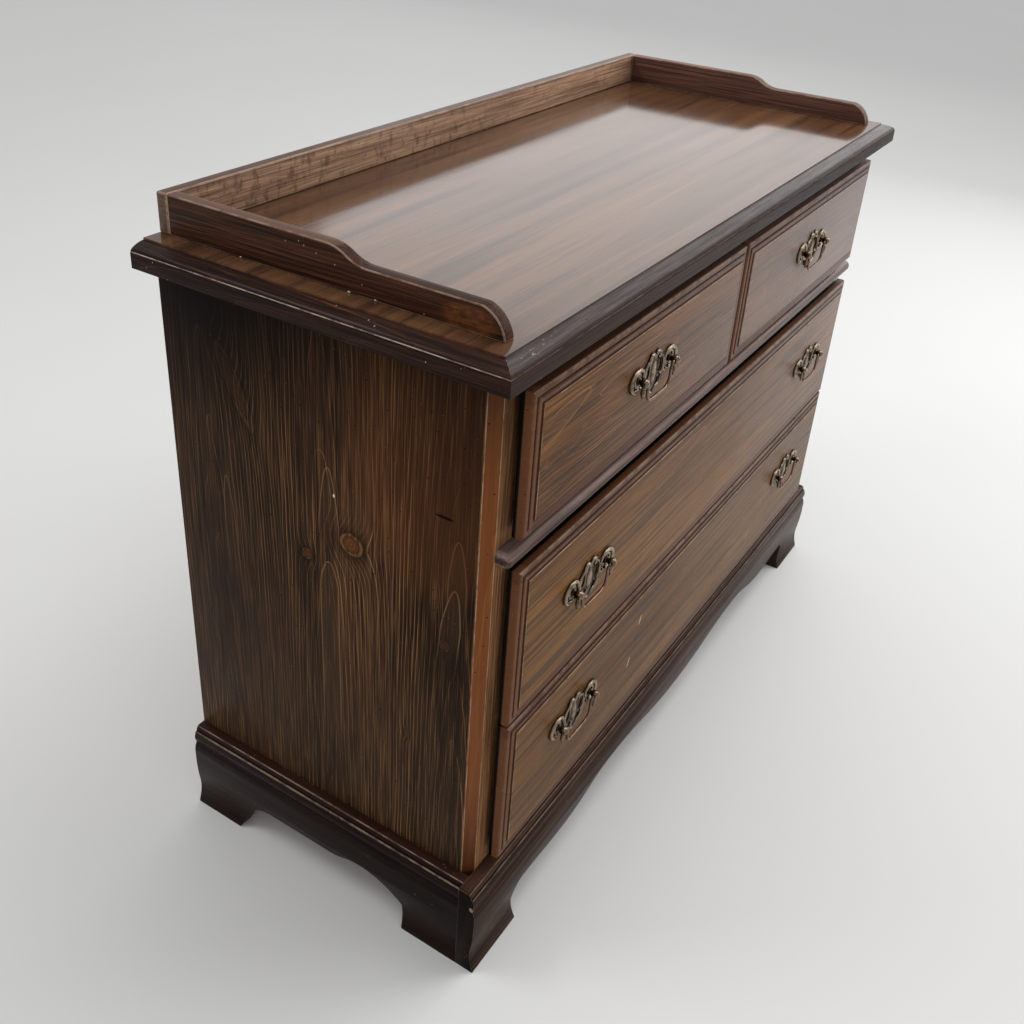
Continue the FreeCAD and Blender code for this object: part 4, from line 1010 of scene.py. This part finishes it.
def plate_mesh():
    """Pierced plate in the XZ plane, its back at y = 0 and its face towards -Y."""
    half = [
        (0, 17), (3.5, 21), (8, 22), (12, 19), (14, 15), (17, 11), (22, 9), (26, 10), (31, 12.5),
        (38, 14.5), (46, 13), (53, 8.5), (56, 1.5), (54, -6), (49, -11), (41, -13.5), (34, -12),
        (28, -11), (24, -13), (20, -18.5), (16, -23), (11, -25.5), (5, -26), (0, -31),
    ]
    outline = half + [(-a, b) for a, b in reversed(half[1:-1])]
    openings = [
        ((10, 3), (12, 9), (16, 9), (19, 4), (19, -4), (15.5, -8), (11, -5)),
        ((25.5, 4), (27.5, 7.5), (30, 6), (29.5, -1), (28.5, -7), (25.5, -5), (25, 0)),
        ((45.5, 6), (49, 4), (49, -3), (45.5, -6), (47, 0)),
        ((6, -14), (12, -13), (15, -18), (10, -22), (5, -19)),
    ]
    holes = [[(side * a, b) for a, b in opening] for opening in openings for side in (1, -1)]
    flat = bpy.data.curves.new("plate", "CURVE")
    flat.dimensions = "2D"
    flat.fill_mode = "BOTH"
    flat.extrude = PLATE_CORE
    flat.bevel_depth = PLATE_ROUND
    flat.bevel_resolution = 2
    flat.resolution_u = 4
    for ring in [outline, *holes]:
        spline = flat.splines.new("BEZIER")
        spline.bezier_points.add(len(ring) - 1)
        spline.use_cyclic_u = True
        for knot, (a, b) in zip(spline.bezier_points, ring):
            knot.co = (a * MM, b * MM, 0)
            knot.handle_left_type = knot.handle_right_type = "AUTO"
    mesh = as_mesh(flat)
    forward = Matrix.Translation((0, -PLATE_CORE - PLATE_ROUND, 0))
    mesh.transform(forward @ Matrix.Rotation(math.pi / 2, 4, "X"))
    return mesh


def rib_meshes():
    """Raised scrolls cast on the plate, each thick in the middle and thin at its ends, and a boss."""
    ribs = []
    paths = [
        (2.7, (
            (26, 1), (28, 8), (35, 12), (45, 11), (51.5, 6), (52.8, -2), (49, -9), (42, -11.2),
            (36, -9.5))),
        (1.8, ((33, 5), (37, 8.5), (43, 7), (45.5, 1), (43, -5.5), (37, -7))),
        (2.4, ((1, 13.5), (3, 18), (8, 19.2), (11.5, 16.5), (11.5, 12.5), (8.5, 11.3))),
        (2.2, ((13.5, 12.8), (19, 9.5), (22.5, 5), (23, -3), (21, -9), (16, -11.5))),
        (2.1, ((2, -27.5), (8, -23.8), (15, -21.2), (20, -15.5), (26, -11), (33, -10.3))),
    ]
    for thick, path in paths:
        last = len(path) - 1
        swell = [0.5 + 0.5 * math.sin(math.pi * (0.12 + 0.76 * i / last)) for i in range(last + 1)]
        for side in (1, -1):
            points = [(side * a * MM, -SCROLL_LIFT, b * MM) for a, b in path]
            ribs.append(tube(points, thick * MM, swell))
    spine = [(0, -SCROLL_LIFT / 2, b * MM) for b in (15, 9, 1, -7, -15, -21)]
    boss = tube(spine, BOSS, (0.25, 0.75, 1.0, 1.0, 0.7, 0.2))
    boss.transform(Matrix.Diagonal((1, 0.5, 1, 1)))
    return [*ribs, boss]


def turned(bm, profile, centre, axis):
    """Spin a profile of (radius, distance along the axis), in millimetres, into a closed shape."""
    axis = Vector(axis)
    side = Vector((1, 0, 0))
    verts = [bm.verts.new(Vector(centre) + side * (r * MM) + axis * (d * MM)) for r, d in profile]
    edges = [bm.edges.new(pair) for pair in zip(verts, verts[1:])]
    bmesh.ops.spin(
        bm, geom=verts + edges, cent=centre, axis=axis, angle=math.tau, steps=24, use_merge=True,
        use_duplicate=False)
    bmesh.ops.remove_doubles(bm, verts=bm.verts, dist=1e-6)


def post_shape(bm, x, y, z, layer):
    """Turned post: collar, neck and ball head, with a hanging drop. A socket at each side of the head,
    where the bail goes in, is marked to be painted dark: painted shade.
    """
    collar = [(0, -2.2), (4.5, -2.2), (4.7, -3.0), (4.2, -3.8), (3.0, -4.2), (2.9, -5.0)]
    bends = [math.radians(34 + 146 * i / 10) for i in range(11)]
    ball = [(BALL * math.sin(t) / MM, (BALL * math.cos(t) - BALL_OUT) / MM) for t in bends]
    turned(bm, collar + ball, (x, y, z), (0, 1, 0))
    drop = [
        (0, -4.5), (1.4, -5), (1.2, -7), (2.3, -9), (2.7, -12), (2.2, -15), (1.0, -17.2), (1.3, -18.4),
        (0, -19.4),
    ]
    turned(bm, drop, (x, y - DROP_OUT, z), (0, 0, 1))
    head = Vector((x, y - BALL_OUT, z))
    for face in bm.faces:
        away = face.calc_center_median() - head
        if away.length < 6 * MM and abs(away.x) > 4.4 * MM:
            face[layer] = 1.0


brass_places = {
    "top_left": ["top_left_bail"], "top_right": ["top_right_bail"],
    "middle": ["middle_left_bail", "middle_right_bail"],
    "bottom": ["bottom_left_bail", "bottom_right_bail"],
}
half_bail = [
    (42.5, 0), (36, 0), (32, -0.6), (29.2, -3.2), (28.3, -8), (27.8, -16), (25.5, -22.5), (20, -26.2),
    (10, -27), (0, -27),
]
bail_path = half_bail + [(-a, b) for a, b in reversed(half_bail[:-1])]
bail_swell = [1.0 + 0.12 * max(0, 1 - abs(a) / 20) for a, b in bail_path]
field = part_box("top_left_drawer_front")[0].y
plate_brass = aged_brass("plate_brass", field - 1.2 * MM, field - 3.6 * MM, (156, 138, 117))
post_brass = aged_brass("post_brass", field - 2.0 * MM, field - 12.0 * MM, (132, 114, 95))
bail_brass = aged_brass("bail_brass", field + 1 * MM, field, (128, 97, 82))
for name, bails in brass_places.items():
    plates, posts = bmesh.new(), bmesh.new()
    sockets = posts.faces.layers.float.new("worn")
    for bail in bails:
        low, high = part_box(bail)
        x = (low.x + high.x) / 2
        z = high.z - PIVOT
        for mesh in [plate_mesh(), *rib_meshes()]:
            mesh.transform(Matrix.Translation((x, field, z)))
            plates.from_mesh(mesh)
        for side in (-1, 1):
            post_shape(posts, x + side * POST_OUT, field, z, sockets)
        axis_y = (low.y + high.y) / 2
        bar = bmesh.new()
        bar.from_mesh(tube([(x + a * MM, axis_y, z + b * MM) for a, b in bail_path], WIRE, bail_swell))
        piece(f"{bail}_wire", bar, bail_brass, bail, "aged_brass", bail)
    bmesh.ops.recalc_face_normals(posts, faces=posts.faces)
    piece(
        f"{name}_scroll_plates", plates, plate_brass, f"drawer_{name}", "aged_brass",
        f"{name}_backplates")
    piece(f"{name}_posts", posts, post_brass, f"drawer_{name}", "aged_brass", f"{name}_pull_posts")

# Studio: a plain pale floor under an even sky, with soft lamps overhead, at the front, at both sides
# and far behind. The camera stands where the photograph was taken from.
floor_shape = bmesh.new()
bmesh.ops.create_grid(floor_shape, x_segments=1, y_segments=1, size=30.0)
floor_mesh = bpy.data.meshes.new("floor")
floor_shape.to_mesh(floor_mesh)
floor_shape.free()
floor = bpy.data.objects.new("floor", floor_mesh)
bpy.context.scene.collection.objects.link(floor)
pale = Finish("pale_floor", {"Roughness": 0.6})
haze = pale.noise((1.5, 1.5, 1.5), 0.0, 2.0)
floor_mesh.materials.append(pale.paint(pale.mix(haze, tone(226, 226, 223), tone(230, 230, 228))))

world = bpy.data.worlds.new("sky")
bpy.context.scene.world = world
world.use_nodes = True
world.node_tree.nodes["Background"].inputs["Color"].default_value = tone(252, 252, 254)
world.node_tree.nodes["Background"].inputs["Strength"].default_value = 0.62


def lamp(name, place, target, size, radiance):
    """Soft box of a size and an even brightness."""
    light = bpy.data.lights.new(name, "AREA")
    light.shape = "RECTANGLE"
    light.size, light.size_y = size
    light.energy = radiance * math.pi * size[0] * size[1]
    thing = bpy.data.objects.new(name, light)
    thing.location = place
    thing.rotation_euler = (Vector(target) - Vector(place)).to_track_quat("-Z", "Y").to_euler()
    bpy.context.scene.collection.objects.link(thing)


lamp("overhead", (0.9, -0.9, 3.2), (0, 0, 0.4), (1.8, 1.8), 3.0)
lamp("front", (2.4, -2.4, 2.0), (0, 0, 0.4), (1.6, 1.6), 3.4)
lamp("right_window", (3.4, -0.65, 2.1), (0, -0.65, 2.1), (2.1, 2.6), 1.4)
lamp("left_strip", (-1.4, 1.5, 2.6), (-0.5, 0, 0.8), (1.0, 0.4), 11.0)
lamp("far_window", (5.6, 2.9, 3.1), (0, 2.9, 3.1), (5.0, 2.2), 1.05)

AZIMUTH, ELEVATION, ROLL = math.radians(-58.774), math.radians(29.905), math.radians(3.596)
FOCAL_PIXELS = 1116.62
IMAGE_PIXELS = 1024
PRINCIPAL = (498.55, 443.38)
STANDPOINT = (-1.26921, -0.64431, 1.20664)
camera = bpy.data.cameras.new("camera")
camera.sensor_width = 36.0
camera.lens = FOCAL_PIXELS / IMAGE_PIXELS * camera.sensor_width
camera.shift_x = (IMAGE_PIXELS / 2 - PRINCIPAL[0]) / IMAGE_PIXELS
camera.shift_y = (PRINCIPAL[1] - IMAGE_PIXELS / 2) / IMAGE_PIXELS
viewpoint = bpy.data.objects.new("camera", camera)
turn = (
    Matrix.Rotation(AZIMUTH, 4, "Z") @ Matrix.Rotation(math.pi / 2 - ELEVATION, 4, "X")
    @ Matrix.Rotation(ROLL, 4, "Z"))
viewpoint.matrix_world = Matrix.Translation(STANDPOINT) @ turn
bpy.context.scene.collection.objects.link(viewpoint)
bpy.context.scene.camera = viewpoint
bpy.context.scene.view_settings.view_transform = "Standard"
